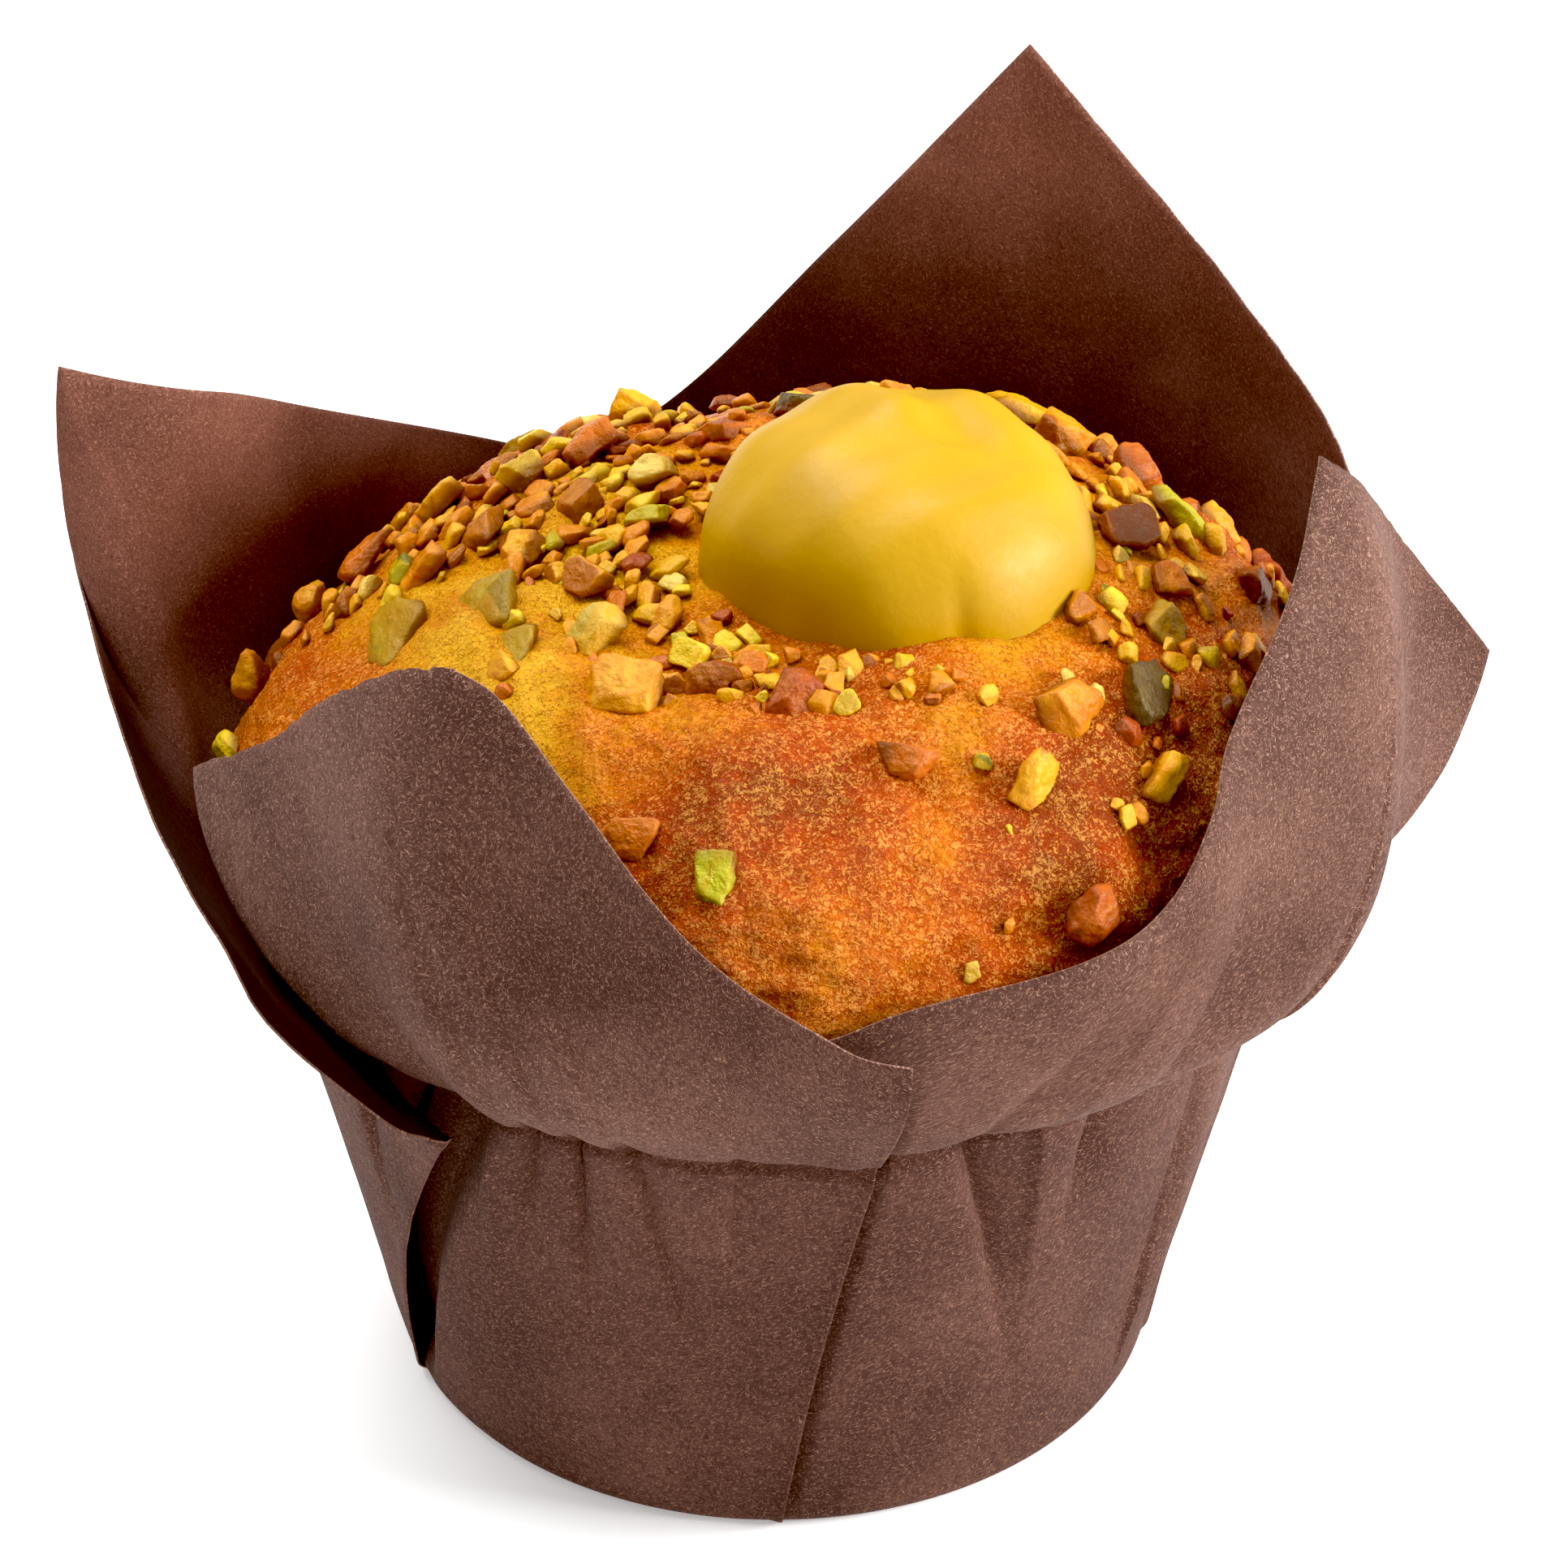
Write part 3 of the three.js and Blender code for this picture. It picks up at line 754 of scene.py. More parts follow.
def ring_faces(mesh, ring, crown):
    """Faces between the closed rings of points, and from the last ring up to the crown."""
    turns = len(ring[0])
    for c in range(turns):
        after = (c + 1) % turns
        mesh.faces.new((crown, ring[-1][c], ring[-1][after]))
        for lower, upper in zip(ring, ring[1:]):
            mesh.faces.new((lower[c], lower[after], upper[after], upper[c]))


def crust_mesh(turns=700, steps=400):
    """The whole cake, with how brown it is baked painted on its points."""
    lower = np.linspace(0, 0.42, 40)[:-1]
    share = np.concatenate([lower, np.linspace(0.42, 1, steps - len(lower))])
    profile = cake_profile(share)
    profile[0, 0] = 0
    profile[-1, 0] = 0
    azimuth = np.linspace(0, 360, turns, endpoint=False)
    points, out = cake_surface(azimuth[None, :], profile[:, None, :])
    bake = np.zeros(points.shape[:2])
    for turn, elevation, reach, amount in BAKE_PATCHES:
        gap = np.linalg.norm(points - patch_centre(turn, elevation), axis=-1)
        bake += PATCH_STRENGTH * amount * np.exp(-((gap / reach) ** 2))
    first_dome_row = int(np.argmax(profile[:, 1] > CREASE_HEIGHT - 2))
    for r in range(first_dome_row, len(share)):
        fade = min(1.0, (r - first_dome_row) / 12)
        for c in range(turns):
            spot = Vector(points[r, c])
            lumps = noise.noise(spot * 0.16 + Vector((3, 1, 7)))
            knobs = noise.noise(spot * 0.55 + Vector((9, 4, 2)))
            grain = noise.fractal(spot * 1.5, 0.75, 2.1, 4)
            pits = max(0.0, 0.32 - noise.voronoi(spot * 0.62)[0][0]) * 1.6
            relief = LUMPS * lumps + KNOBS * knobs + GRAIN * grain - PITS * pits
            points[r, c] += out[r, c] * fade * relief
    mesh = bmesh.new()
    layer = mesh.verts.layers.float_color.new("bake")
    painted = 0.5 + 0.5 * bake
    ring = []
    for r in range(1, len(share) - 1):
        ring.append([mesh.verts.new(point * MM) for point in points[r]])
        for vert, brown in zip(ring[-1], painted[r]):
            vert[layer] = (brown,) * 3 + (1.0,)
    foot = mesh.verts.new(points[0, 0] * MM)
    crown = mesh.verts.new(points[-1].mean(0) * MM)
    foot[layer] = (0.5, 0.5, 0.5, 1.0)
    crown[layer] = (painted[-1, 0],) * 3 + (1.0,)
    for c in range(turns):
        mesh.faces.new((foot, ring[0][(c + 1) % turns], ring[0][c]))
    ring_faces(mesh, ring, crown)
    return finished_mesh(mesh, "baked_crust")


# The crust's colours from least to most baked, each with its place on that scale, and the
# fine flecks on it: pale flecks, partly dry crumb and partly painted highlights, and dark grains.
CRUST_COLOURS = [
    (0.0, (0.82, 0.42, 0.022, 1)),
    (1.0, (0.21, 0.018, 0.003, 1)),
    (0.22, (0.70, 0.255, 0.008, 1)),
    (0.44, (0.60, 0.132, 0.004, 1)),
    (0.64, (0.47, 0.062, 0.003, 1)),
    (0.82, (0.36, 0.030, 0.003, 1)),
]
PALE_CRUMB_AND_GLINT_COLOUR = (0.93, 0.43, 0.085, 1)
GRAIN_COLOUR = (0.30, 0.042, 0.004, 1)


def crust_material():
    """Baked colours by patch and crumb, with pale flecks, partly painted highlights, where the
    crust is well browned.
    """
    material, tree, shader = new_material("baked_crust")
    place = add_node(tree, "ShaderNodeTexCoord").outputs["Object"]
    bake = add_node(tree, "ShaderNodeVertexColor", layer_name="bake").outputs[0]
    patches = noise_value(tree, place, 120.0, 6.0, 0.62)
    crumb = noise_value(tree, place, 700.0, 5.0, 0.7)
    flecks = noise_value(tree, place, 3600.0, 4.0, 0.62, 1.2)
    level = weighed_sum(tree, patches, 1.9, bake)
    level = weighed_sum(tree, crumb, 0.5, level)
    baked = range_mask(tree, level, 1.16, 2.42)
    ramp = add_node(tree, "ShaderNodeValToRGB", {0: baked})
    stops = ramp.color_ramp.elements
    for end, (position, colour) in zip(stops, CRUST_COLOURS[:2]):
        end.position = position
        end.color = colour
    for position, colour in CRUST_COLOURS[2:]:
        stops.new(position).color = colour
    browned = range_mask(tree, level, 1.35, 1.75)
    clumps = range_mask(tree, weighed_sum(tree, crumb, 0.35, flecks), 0.68, 0.77)
    pale_crumb_and_glints = add_node(tree, "ShaderNodeMath", {0: clumps, 1: browned}, operation="MULTIPLY")
    pale_crumb_and_glints = range_mask(tree, pale_crumb_and_glints.outputs[0], 0.0, 1.0, 0.0, 0.55)
    grains = range_mask(tree, flecks, 0.38, 0.48, 0.72, 0.0)
    # Pale flecks: partly dry crumb, partly painted highlights.
    colour = mix_colour(tree, pale_crumb_and_glints, ramp.outputs[0], PALE_CRUMB_AND_GLINT_COLOUR)
    colour = mix_colour(tree, grains, colour, GRAIN_COLOUR)
    finish_shader(
        tree,
        shader,
        colour,
        roughness=range_mask(tree, crumb, 0.3, 0.7, 0.24, 0.42),
        height=weighed_sum(tree, flecks, 0.5, crumb),
        strength=1.0,
        distance=0.00055,
        Subsurface_Weight=0.1,
        Subsurface_Radius=(1.0, 0.45, 0.15),
        Subsurface_Scale=0.001,
        Specular_IOR_Level=0.45,
        Specular_Tint=(1.0, 0.8, 0.45, 1.0),
    )
    return material


cake = add_object("baked_cake", crust_mesh(), crust_material())
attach(cake, "root")
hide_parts("muffin")


# ------------------------------------------------------------- filling dollop
# A spoonful of thick yellow filling, set down warm on the dome. It has a satin skin, soft
# folds where the spoon left it, and lobes where it ran between the nuts.

# Folds on the dollop seen from above, in shares of its half width: where each starts and
# ends, how high it stands as a share of the dollop's height, and how wide it is.
DOLLOP_FOLDS = [
    ((-0.38, 0.60), (0.00, 0.24), 0.055, 0.19),
    ((0.00, 0.24), (0.18, -0.10), 0.040, 0.17),
    ((0.08, 0.62), (0.34, 0.14), -0.060, 0.19),
    ((0.26, 0.22), (0.60, 0.00), -0.025, 0.24),
    ((0.46, -0.46), (0.62, -0.60), 0.035, 0.22),
    ((-0.24, -0.36), (-0.14, -0.62), 0.025, 0.24),
    ((-0.64, -0.16), (-0.52, -0.50), -0.040, 0.20),
]

# Where the rim is drawn in or runs out between the nuts: azimuth, depth and width in degrees.
DOLLOP_LOBES = [
    (222, -0.10, 26), (246, -0.03, 10), (268, 0.05, 12), (287, -0.03, 4), (302, 0.06, 20),
    (335, 0.04, 16), (180, 0.03, 14),
]

# How high it stands over its foot and how far the skin is uneven, in mm; how full it is (a
# ball is 1, less is blunter), the front's share of its half depth, and its fall to the right.
DOLLOP_DEPTH = 12.0
DOLLOP_UNEVEN = 0.7
DOLLOP_FULLNESS = 0.68
DOLLOP_FRONT = 0.9
DOLLOP_FALL = 0.03


def segment_distance(x, y, start, end):
    """How far each place is from a straight fold line."""
    along = np.array(end) - np.array(start)
    share = ((x - start[0]) * along[0] + (y - start[1]) * along[1]) / (along @ along)
    share = np.clip(share, 0, 1)
    return np.hypot(x - start[0] - share * along[0], y - start[1] - share * along[1])


def box_of(node):
    """The middle and the half sizes of a node's box, in mm."""
    low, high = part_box(node)
    return np.array((low + high) / 2) / MM, np.array((high - low) / 2) / MM


def dollop_mesh(turns=300, steps=190):
    """A blunt heap as wide and deep as the node's box, with its lobes, folds and bumps."""
    middle, half = box_of("cream_dollop")
    azimuth = np.linspace(0, 360, turns, endpoint=False)[None, :]
    slope = np.radians(np.linspace(-55, 90, steps))[:, None]
    x = np.cos(slope) ** 0.75 * np.cos(np.radians(azimuth))
    y = np.cos(slope) ** 0.75 * np.sin(np.radians(azimuth))
    spread = np.hypot(x, y)
    rim = np.ones_like(x)
    for turn, depth, width in DOLLOP_LOBES:
        rim += depth * np.exp(-((turn_past(azimuth, turn) / width) ** 2)) * spread**14
    top = np.sign(slope) * np.abs(np.sin(slope)) ** DOLLOP_FULLNESS + 0 * x
    for start, end, height, width in DOLLOP_FOLDS:
        gap = segment_distance(x, y, start, end)
        top += height * np.exp(-((gap / width) ** 2)) * ease(top, 0.05, 0.5)
    crown_height = middle[2] + half[2] - 0.8
    height = crown_height - DOLLOP_DEPTH * (1 - top) - DOLLOP_FALL * half[0] * x
    half_depth = half[1] * rim * np.where(y < 0, DOLLOP_FRONT, 1.0)
    points = np.stack([middle[0] + half[0] * rim * x, middle[1] + half_depth * y, height], -1)
    bumps = swelling(points[..., 0] * 1.7, points[..., 1] * 1.7, points[..., 2], DOLLOP_UNEVEN)
    points[..., 2] += bumps * ease(top, 0.0, 0.6)
    mesh = bmesh.new()
    ring = [[mesh.verts.new(point * MM) for point in row] for row in points[:-1]]
    crown = mesh.verts.new(points[-1].mean(0) * MM)
    ring_faces(mesh, ring, crown)
    mesh.faces.new(list(reversed(ring[0])))
    return finished_mesh(mesh, "filling_dollop")


def filling_material():
    """Mustard yellow in two close shades, with a satin skin."""
    material, tree, shader = new_material("yellow_filling")
    place = add_node(tree, "ShaderNodeTexCoord").outputs["Object"]
    cloud = range_mask(tree, noise_value(tree, place, 130.0, 3.0), 0.35, 0.65)
    grain = noise_value(tree, place, 1300.0, 4.0)
    finish_shader(
        tree,
        shader,
        mix_colour(tree, cloud, (0.48, 0.262, 0.002, 1), (0.53, 0.297, 0.003, 1)),
        roughness=range_mask(tree, grain, 0.3, 0.7, 0.48, 0.56),
        height=grain,
        strength=0.22,
        distance=0.0002,
        Subsurface_Weight=0.15,
        Subsurface_Radius=(1.0, 0.6, 0.1),
        Subsurface_Scale=0.0015,
        Specular_IOR_Level=0.42,
        Specular_Tint=(1.0, 1.0, 0.96, 1.0),
    )
    return material


dollop = add_object("filling_dollop", dollop_mesh(), filling_material())
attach(dollop, "root")
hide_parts("cream_dollop")


# ----------------------------------------------------------- chopped pistachio
# Kernels chopped into 2 to 6 mm pieces and baked on: flat cut faces in yellow, green or
# toasted brown, and a thin dark skin on the side that was the outside of the kernel.

# The height that the pieces are seen to point out from, in mm, and, as shares of a piece's
# length, how deep it is settled in the crust and how much shorter it is than its node's box.
NUT_CENTRE_HEIGHT = 42.0
NUT_SETTLED = 0.13
FLUSH_SETTLED = 0.33
NUT_SHRINK = 0.93

# The block that a chopped piece is cut from: the range of its length, width and thickness as
# shares of the piece's length, how far its sides slant, how far its corners may reach, how
# sharp the cut edges are, and how often one side still has its skin.
BLOCK_SIDES = [(0.85, 1.05), (0.60, 0.85), (0.29, 0.48)]
SIDE_SLANT = 0.24
BLOCK_BOUND = 1.4
EDGE_SHARPNESS = (24, 60)
SKINNED_SHARE = 0.6

# Chips in its surface: how high they are in mm on a large piece, and how close they lie.
CHIPS = [(0.26, 0.7), (0.10, 1.8), (0.05, 6.0)]

# The flesh, the toasted flesh and the skin of each tone, and the painted shade on the lower part
# of a piece, where it sits in the crust.
TONES = {
    "gold": [(0.74, 0.38, 0.018, 1), (0.60, 0.20, 0.010, 1), (0.36, 0.10, 0.012, 1)],
    "yellow": [(0.76, 0.54, 0.030, 1), (0.66, 0.32, 0.014, 1), (0.44, 0.26, 0.02, 1)],
    "pale": [(0.74, 0.54, 0.12, 1), (0.64, 0.36, 0.035, 1), (0.50, 0.34, 0.05, 1)],
    "green": [(0.44, 0.40, 0.016, 1), (0.46, 0.28, 0.012, 1), (0.13, 0.13, 0.010, 1)],
    "olive": [(0.40, 0.29, 0.018, 1), (0.38, 0.19, 0.012, 1), (0.24, 0.14, 0.012, 1)],
    "toasted": [(0.70, 0.28, 0.014, 1), (0.50, 0.125, 0.008, 1), (0.26, 0.055, 0.010, 1)],
    "brown": [(0.45, 0.15, 0.012, 1), (0.24, 0.050, 0.006, 1), (0.11, 0.024, 0.009, 1)],
    "red": [(0.48, 0.120, 0.012, 1), (0.30, 0.045, 0.008, 1), (0.11, 0.022, 0.010, 1)],
    "dark": [(0.16, 0.11, 0.018, 1), (0.08, 0.040, 0.010, 1), (0.026, 0.013, 0.009, 1)],
}
SUNK_SHADE_COLOUR = (0.15, 0.026, 0.003, 1)


def make_kernel_group():
    """The look of a roasted kernel: where it is toasted, and its fine grain."""
    group, given, result = new_group(
        "kernel_roast",
        [
            ("Place", "NodeSocketVector", None),
            ("Blotches", "NodeSocketFloat", 420.0),
            ("Roast", "NodeSocketFloat", 0.5),
        ],
        [("Toast", "NodeSocketFloat"), ("Grain", "NodeSocketFloat")],
    )
    blotch = noise_value(group, given.outputs["Place"], given.outputs["Blotches"], 5.0, 0.6)
    grain = noise_value(group, given.outputs["Place"], 1700.0, 5.0, 0.65)
    level = weighed_sum(group, given.outputs["Roast"], 0.45, blotch)
    level = weighed_sum(group, grain, 0.25, level)
    group.links.new(range_mask(group, level, 0.66, 1.02), result.inputs["Toast"])
    group.links.new(grain, result.inputs["Grain"])
    return group


kernel_group = make_kernel_group()


def nut_material(tone, flesh, toast, skin):
    """A kernel's flesh, toasted in blotches and along its cut edges, with its skin, and painted
    shade on its sunk lower part.
    """
    material, tree, shader = new_material("pistachio_" + tone)
    place = add_node(tree, "ShaderNodeTexCoord").outputs["Object"]
    painted = add_node(tree, "ShaderNodeVertexColor", layer_name="kernel")
    piece = add_node(tree, "ShaderNodeSeparateColor", {0: painted.outputs["Color"]})
    kernel = tree.nodes.new("ShaderNodeGroup")
    kernel.node_tree = kernel_group
    tree.links.new(place, kernel.inputs["Place"])
    tree.links.new(piece.outputs["Green"], kernel.inputs["Roast"])
    edges = range_mask(tree, piece.outputs["Blue"], 0.2, 1.0, 0.0, 0.6)
    skinned = range_mask(tree, piece.outputs["Red"], 0.0, 1.0, 0.0, 0.9)
    sunk_shade = range_mask(tree, painted.outputs["Alpha"], 0.0, 1.0, 0.0, 0.8)
    colour = mix_colour(tree, kernel.outputs["Toast"], flesh, toast)
    colour = mix_colour(tree, edges, colour, toast)
    colour = mix_colour(tree, skinned, colour, skin)
    # Painted shade: darker towards the part of the piece sunk in the crust.
    colour = mix_colour(tree, sunk_shade, colour, SUNK_SHADE_COLOUR)
    finish_shader(
        tree,
        shader,
        colour,
        roughness=range_mask(tree, kernel.outputs["Grain"], 0.3, 0.7, 0.24, 0.46),
        height=kernel.outputs["Grain"],
        strength=0.55,
        distance=0.0004,
        Subsurface_Weight=0.08,
        Subsurface_Radius=(1.0, 0.5, 0.15),
        Subsurface_Scale=0.0007,
        Specular_IOR_Level=0.5,
        Specular_Tint=(1.0, 0.9, 0.6, 1.0),
    )
    return material


nut_materials = {tone: nut_material(tone, *colours) for tone, colours in TONES.items()}


def cut_block(rays, length, dice):
    """How far a knife-cut block reaches along each ray, and how near each of its sides is."""
    half = length / 2 * np.array([dice.uniform(*shares) for shares in BLOCK_SIDES])
    sides = np.vstack([np.eye(3), -np.eye(3)]) + dice.normal(0, SIDE_SLANT, (6, 3))
    corners = dice.normal(size=(dice.integers(3, 7), 3))
    facing = np.vstack([sides, corners])
    facing /= np.linalg.norm(facing, axis=1)[:, None]
    distance = np.linalg.norm(facing * half, axis=1)
    distance[:6] *= dice.uniform(0.78, 1.0, 6)
    distance[6:] *= dice.uniform(0.74, 1.0, len(corners))
    nearness = np.maximum(rays @ facing.T, 0) / distance
    outside = np.linalg.norm(rays / half, axis=1) / BLOCK_BOUND
    sharpness = dice.uniform(*EDGE_SHARPNESS)
    reach = ((nearness**sharpness).sum(1) + outside**sharpness) ** (-1 / sharpness)
    return reach, nearness


def lying_axes(outward, dice):
    """The axes of a block that lies on the crust, turned at random and leaning a little."""
    side = np.cross(outward, [0.3, 0.2, 0.9])
    side /= np.linalg.norm(side)
    spin = dice.uniform(0, 2 * math.pi)
    lean = dice.normal(0, 0.3)
    along = math.cos(spin) * side + math.sin(spin) * np.cross(outward, side)
    beside = np.cross(outward, along)
    tilted = math.cos(lean) * outward + math.sin(lean) * along
    return np.stack([np.cross(beside, tilted), beside, tilted])


def chopped_piece(mesh, layer, centre, outward, length, detail, dice):
    """Adds one chopped piece, painted with its skin, roast and cut edges, and with painted shade
    on its sunk part.
    """
    verts = bmesh.ops.create_icosphere(mesh, subdivisions=detail, radius=1.0)["verts"]
    rays = np.array([v.co for v in verts])
    rays /= np.linalg.norm(rays, axis=1)[:, None]
    reaches, nearness = cut_block(rays, length, dice)
    nearest = np.sort(nearness, axis=1)
    ridges = ease(nearest[:, -2] / nearest[:, -1], 0.80, 1.0)
    skin_side = dice.integers(0, 6) if dice.uniform() < SKINNED_SHARE else -1
    skinned = nearness.argmax(1) == skin_side
    rays = rays @ lying_axes(outward, dice)
    # How far each point lies in the sunk part, which gets painted shade.
    sunk_shade = ease(-(rays @ outward) * reaches / length, -0.10, 0.12)
    roast = dice.uniform()
    size = min(1.0, length / 4)
    for vert, ray, reach, skin, ridge, shade_below in zip(verts, rays, reaches, skinned, ridges, sunk_shade):
        spot = Vector(centre + ray * reach)
        chips = sum(height * noise.noise(spot * scale) for height, scale in CHIPS)
        vert.co = (spot + Vector(ray) * chips * size) * MM
        vert[layer] = (float(skin), roast, ridge, shade_below)


def out_of_dome(place):
    """The direction straight out of the dome at a place."""
    outward = place - np.array([0, 0, NUT_CENTRE_HEIGHT])
    return outward / np.linalg.norm(outward)


def nut_object(name, spots, tone, detail, seed):
    """One object of chopped pieces of one tone, each at its centre and of its length."""
    dice = np.random.default_rng(seed)
    mesh = bmesh.new()
    layer = mesh.verts.layers.float_color.new("kernel")
    for centre, length in spots:
        chopped_piece(mesh, layer, centre, out_of_dome(centre), length, detail, dice)
    piece = add_object(name, finished_mesh(mesh, name), nut_materials[tone])
    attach(piece, "root")
    return piece


nut_spots = []
node_slots = {part["node"]: part["material_slot"] for part in frame["record"]["subparts"]}
nut_nodes = sorted(name for name in frame["nodes"] if name.startswith("pistachio_"))
for number, node in enumerate(nut_nodes):
    middle, half = box_of(node)
    length = 2 * max(half) * NUT_SHRINK
    tone = node_slots[node].removeprefix("nut_")
    settled = FLUSH_SETTLED if tone == "olive" else NUT_SETTLED
    centre = middle - out_of_dome(middle) * settled * length
    piece = nut_object("chopped_" + node, [(centre, length)], tone, 5, 100 + number)
    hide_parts(node)
    nut_spots.append((centre, length))


# ----------------------------------------------------------------- nut crumbs
# The finer crumbs of the same pistachio, 1 to 3 mm, that fell between the larger pieces and
# baked on with them. They lie thickest on the left slope and around the dollop.

# Azimuth and elevation of each cluster's middle, its reach in mm, how many crumbs it has
# and the longest of them in mm.
CRUMB_CLUSTERS = [
    (168, 18, 3.5, 26, 2.6), (170, 29, 3.5, 26, 3.0), (150, 26, 4, 32, 3.0), (156, 36, 4, 34, 3.0),
    (140, 41, 4, 30, 3.0), (150, 50, 3.5, 30, 3.0), (130, 50, 4, 30, 3.0), (126, 37, 4, 28, 3.0),
    (128, 61, 3, 20, 2.8), (174, 58, 3.5, 30, 3.0), (195, 66, 3, 20, 2.8), (236, 62, 3, 12, 2.6),
    (180, 46, 3, 18, 2.8), (210, 44, 3, 9, 2.6), (212, 56, 3.5, 20, 2.8), (235, 47, 3, 7, 2.2),
    (277, 52, 2, 8, 2.4), (258, 60, 2.5, 9, 2.4), (290, 52, 2, 8, 2.6), (305, 46, 2.5, 8, 2.2),
    (24, 36, 3.5, 28, 3.2), (12, 34, 3, 28, 3.2), (12, 18, 3.5, 20, 2.8), (358, 37, 3, 28, 3.0),
    (342, 36, 3, 22, 2.8), (328, 28, 3, 10, 2.4), (318, 27, 3, 8, 2.2), (350, 27, 3.5, 18, 2.6),
    (60, 32, 6, 24, 3.0), (88, 34, 6, 24, 3.0), (108, 33, 6, 24, 3.0), (118, 22, 5, 14, 2.8),
    (75, 18, 5, 10, 2.6), (42, 24, 5, 14, 2.8), (98, 15, 5, 9, 2.6), (300, 20, 5, 4, 1.8),
    (262, 51, 2.5, 16, 2.6), (248, 53, 2.5, 14, 2.6), (284, 50, 2, 12, 2.4), (298, 50, 2, 12, 2.4),
]

# One of these is drawn for each crumb, so the tones that come often are repeated.
CRUMB_TONES = ["gold"] * 5 + ["yellow"] * 3 + ["toasted"] * 3 + ["pale", "green", "brown", "red"]


def scatter_crumbs(dice):
    """A tone, a centre and a length for each crumb, clear of the dollop and of other pieces."""
    middle, half = box_of("cream_dollop")
    spots = []
    for azimuth, elevation, reach, count, longest in CRUMB_CLUSTERS:
        heart = patch_centre(azimuth, elevation)
        for _ in range(count):
            length = longest * dice.uniform(0.35, 1.0)
            near = heart + dice.normal(0, reach * 0.6, 3)
            turn = math.degrees(math.atan2(near[1], near[0])) % 360
            height = near[2] - NUT_CENTRE_HEIGHT
            rise = math.degrees(math.atan2(height, math.hypot(near[0], near[1])))
            place = patch_centre(turn, max(6, rise))
            centre = place + out_of_dome(place) * length * 0.10
            across, deep = (place[:2] - middle[:2]) / half[:2]
            clear_of_dollop = math.hypot(across, deep) > 0.97
            crowded = any(
                np.linalg.norm(centre - other) < 0.25 * (length + other_length)
                for other, other_length in nut_spots + [spot for _, spot in spots]
            )
            if clear_of_dollop and not crowded:
                tone = CRUMB_TONES[dice.integers(len(CRUMB_TONES))]
                spots.append((tone, (centre, length)))
    return spots


crumbs = scatter_crumbs(np.random.default_rng(11))
for number, tone in enumerate(sorted(set(CRUMB_TONES))):
    own = [spot for crumb_tone, spot in crumbs if crumb_tone == tone]
    nut_object("crumbs_" + tone, own, tone, 4, 300 + number)


def darken_crust_for_oil_and_shade(spots, strength=0.28, reach=0.55):
    """Darkens the crust close around each piece: partly where the kernel's oil ran into it, partly
    as painted shade where the piece meets the crust.
    """
    layer = cake.data.color_attributes["bake"].data
    count = len(cake.data.vertices)
    points = np.empty(count * 3)
    cake.data.vertices.foreach_get("co", points)
    points = points.reshape(-1, 3) / MM
    colours = np.empty(count * 4)
    layer.foreach_get("color", colours)
    colours = colours.reshape(-1, 4)
    oil_and_shade = np.zeros(count)
    for centre, length in spots:
        near = np.abs(points - centre).max(1) < 2.5 * length
        gap = np.linalg.norm(points[near] - centre, axis=1)
        around = min(1.0, length / 2.5) * np.exp(-((gap / (reach * length + 0.4)) ** 2))
        oil_and_shade[near] = np.maximum(oil_and_shade[near], around)
    # Darker around each piece: oil browning and painted contact shade.
    colours[:, :3] += strength * oil_and_shade[:, None]
    layer.foreach_set("color", colours.ravel())


darken_crust_for_oil_and_shade(nut_spots + [spot for _, spot in crumbs])


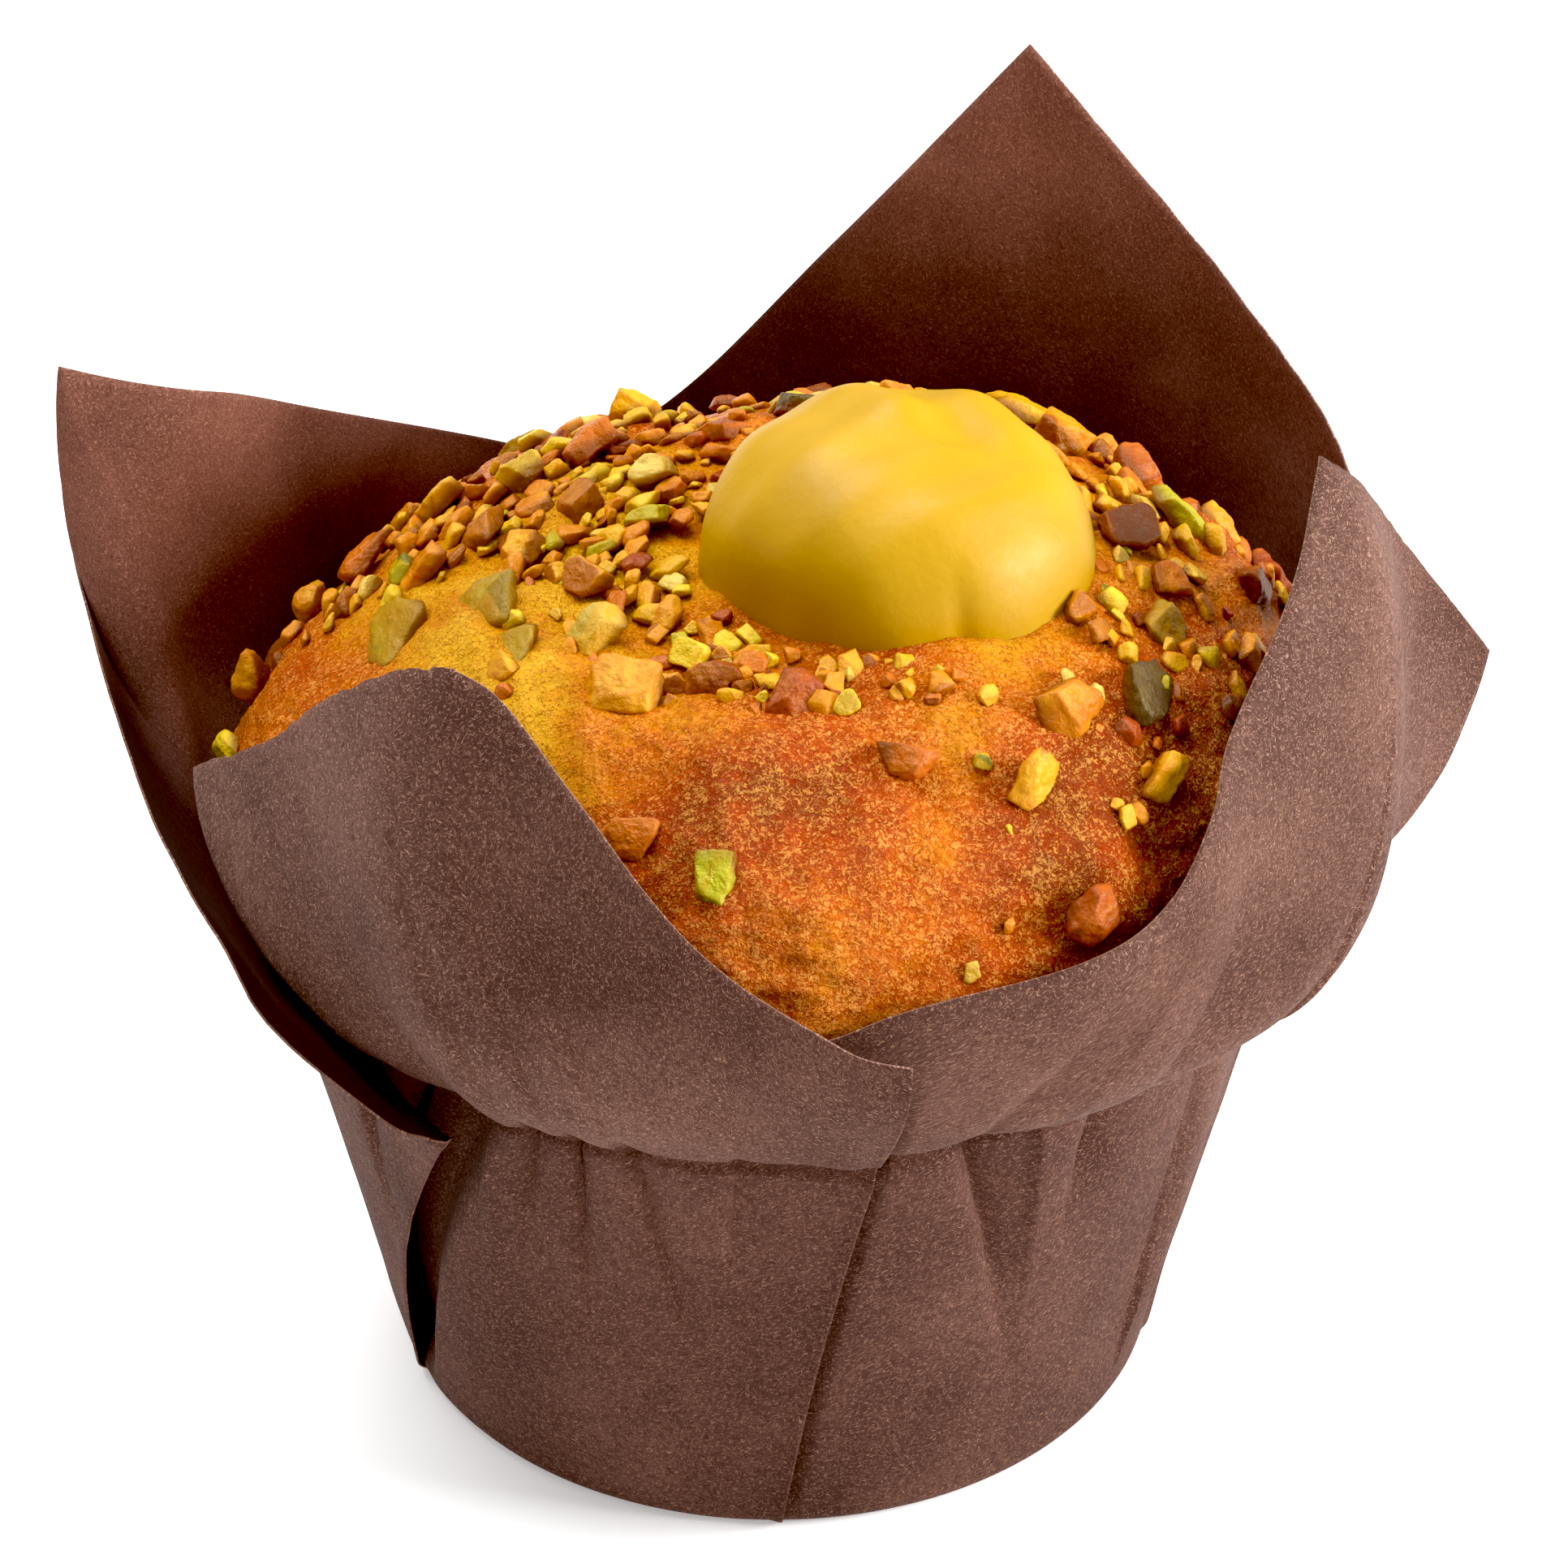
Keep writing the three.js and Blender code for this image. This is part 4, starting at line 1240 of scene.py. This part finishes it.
# ------------------------------------------------------------ floor and light
# A plain white sheet to stand on, which glows a little as a lit sweep does: painted light that
# lifts the shadows on it and lights the cake from below. Soft light comes from two large
# sources: one low on the right, and one above.
FLOOR_HALF = 1.5
FLOOR_CORNERS = [(-1, -1), (1, -1), (1, 1), (-1, 1)]
floor_mesh = bpy.data.meshes.new("floor")
floor_points = [(x * FLOOR_HALF, y * FLOOR_HALF, 0) for x, y in FLOOR_CORNERS]
floor_mesh.from_pydata(floor_points, [], [(0, 1, 2, 3)])
floor_white, _, floor_shader = new_material("floor_white")
floor_shader.inputs["Base Color"].default_value = (0.97, 0.97, 0.97, 1)
floor_shader.inputs["Roughness"].default_value = 0.7
# The glow is painted light: it fills the floor's shadows and lights the cake from below.
floor_shader.inputs["Emission Color"].default_value = (1, 1, 1, 1)
floor_shader.inputs["Emission Strength"].default_value = 0.30
floor = add_object("floor", floor_mesh, floor_white)

world = bpy.data.worlds.new("soft_white")
bpy.context.scene.world = world
world.use_nodes = True
world.node_tree.nodes["Background"].inputs["Color"].default_value = (1, 1, 1, 1)
world.node_tree.nodes["Background"].inputs["Strength"].default_value = 0.52


def soft_box(name, place, aim, size, power, colour):
    """A large soft lamp: place, aim and size in metres, power in watts."""
    light = bpy.data.lights.new(name, "AREA")
    light.shape = "RECTANGLE"
    light.size, light.size_y = size
    light.energy = power
    light.color = colour
    lamp = bpy.data.objects.new(name, light)
    lamp.location = place
    lamp.rotation_euler = (Vector(aim) - Vector(place)).to_track_quat("-Z", "Y").to_euler()
    bpy.context.scene.collection.objects.link(lamp)


soft_box("key", (0.60, -0.12, 0.26), (0, 0, 0.045), (0.28, 0.24), 6.2, (0.99, 1.0, 1.0))
soft_box("top", (-0.14, 0.16, 0.58), (0, 0, 0.04), (0.46, 0.40), 4.4, (1.0, 1.0, 1.0))


# --------------------------------------------------------------------- camera
# A long lens about 60 cm away, looking down by 34.5 degrees.
LOOKING_DOWN = 34.5
camera = bpy.data.cameras.new("camera")
camera.sensor_width = 36.0
camera.lens = 202.4
camera.clip_start = 0.05
camera_object = bpy.data.objects.new("camera", camera)
camera_object.location = (0.0006, -0.4741, 0.3677)
camera_object.rotation_euler = (math.radians(90 - LOOKING_DOWN), 0, 0)
bpy.context.scene.collection.objects.link(camera_object)
bpy.context.scene.camera = camera_object

# Studio levels: the darkest tones are taken down to black.
levels = bpy.context.scene.view_settings
levels.view_transform = "Standard"
levels.use_curve_mapping = True
levels.curve_mapping.black_level = (0.012, 0.017, 0.019)
levels.curve_mapping.update()
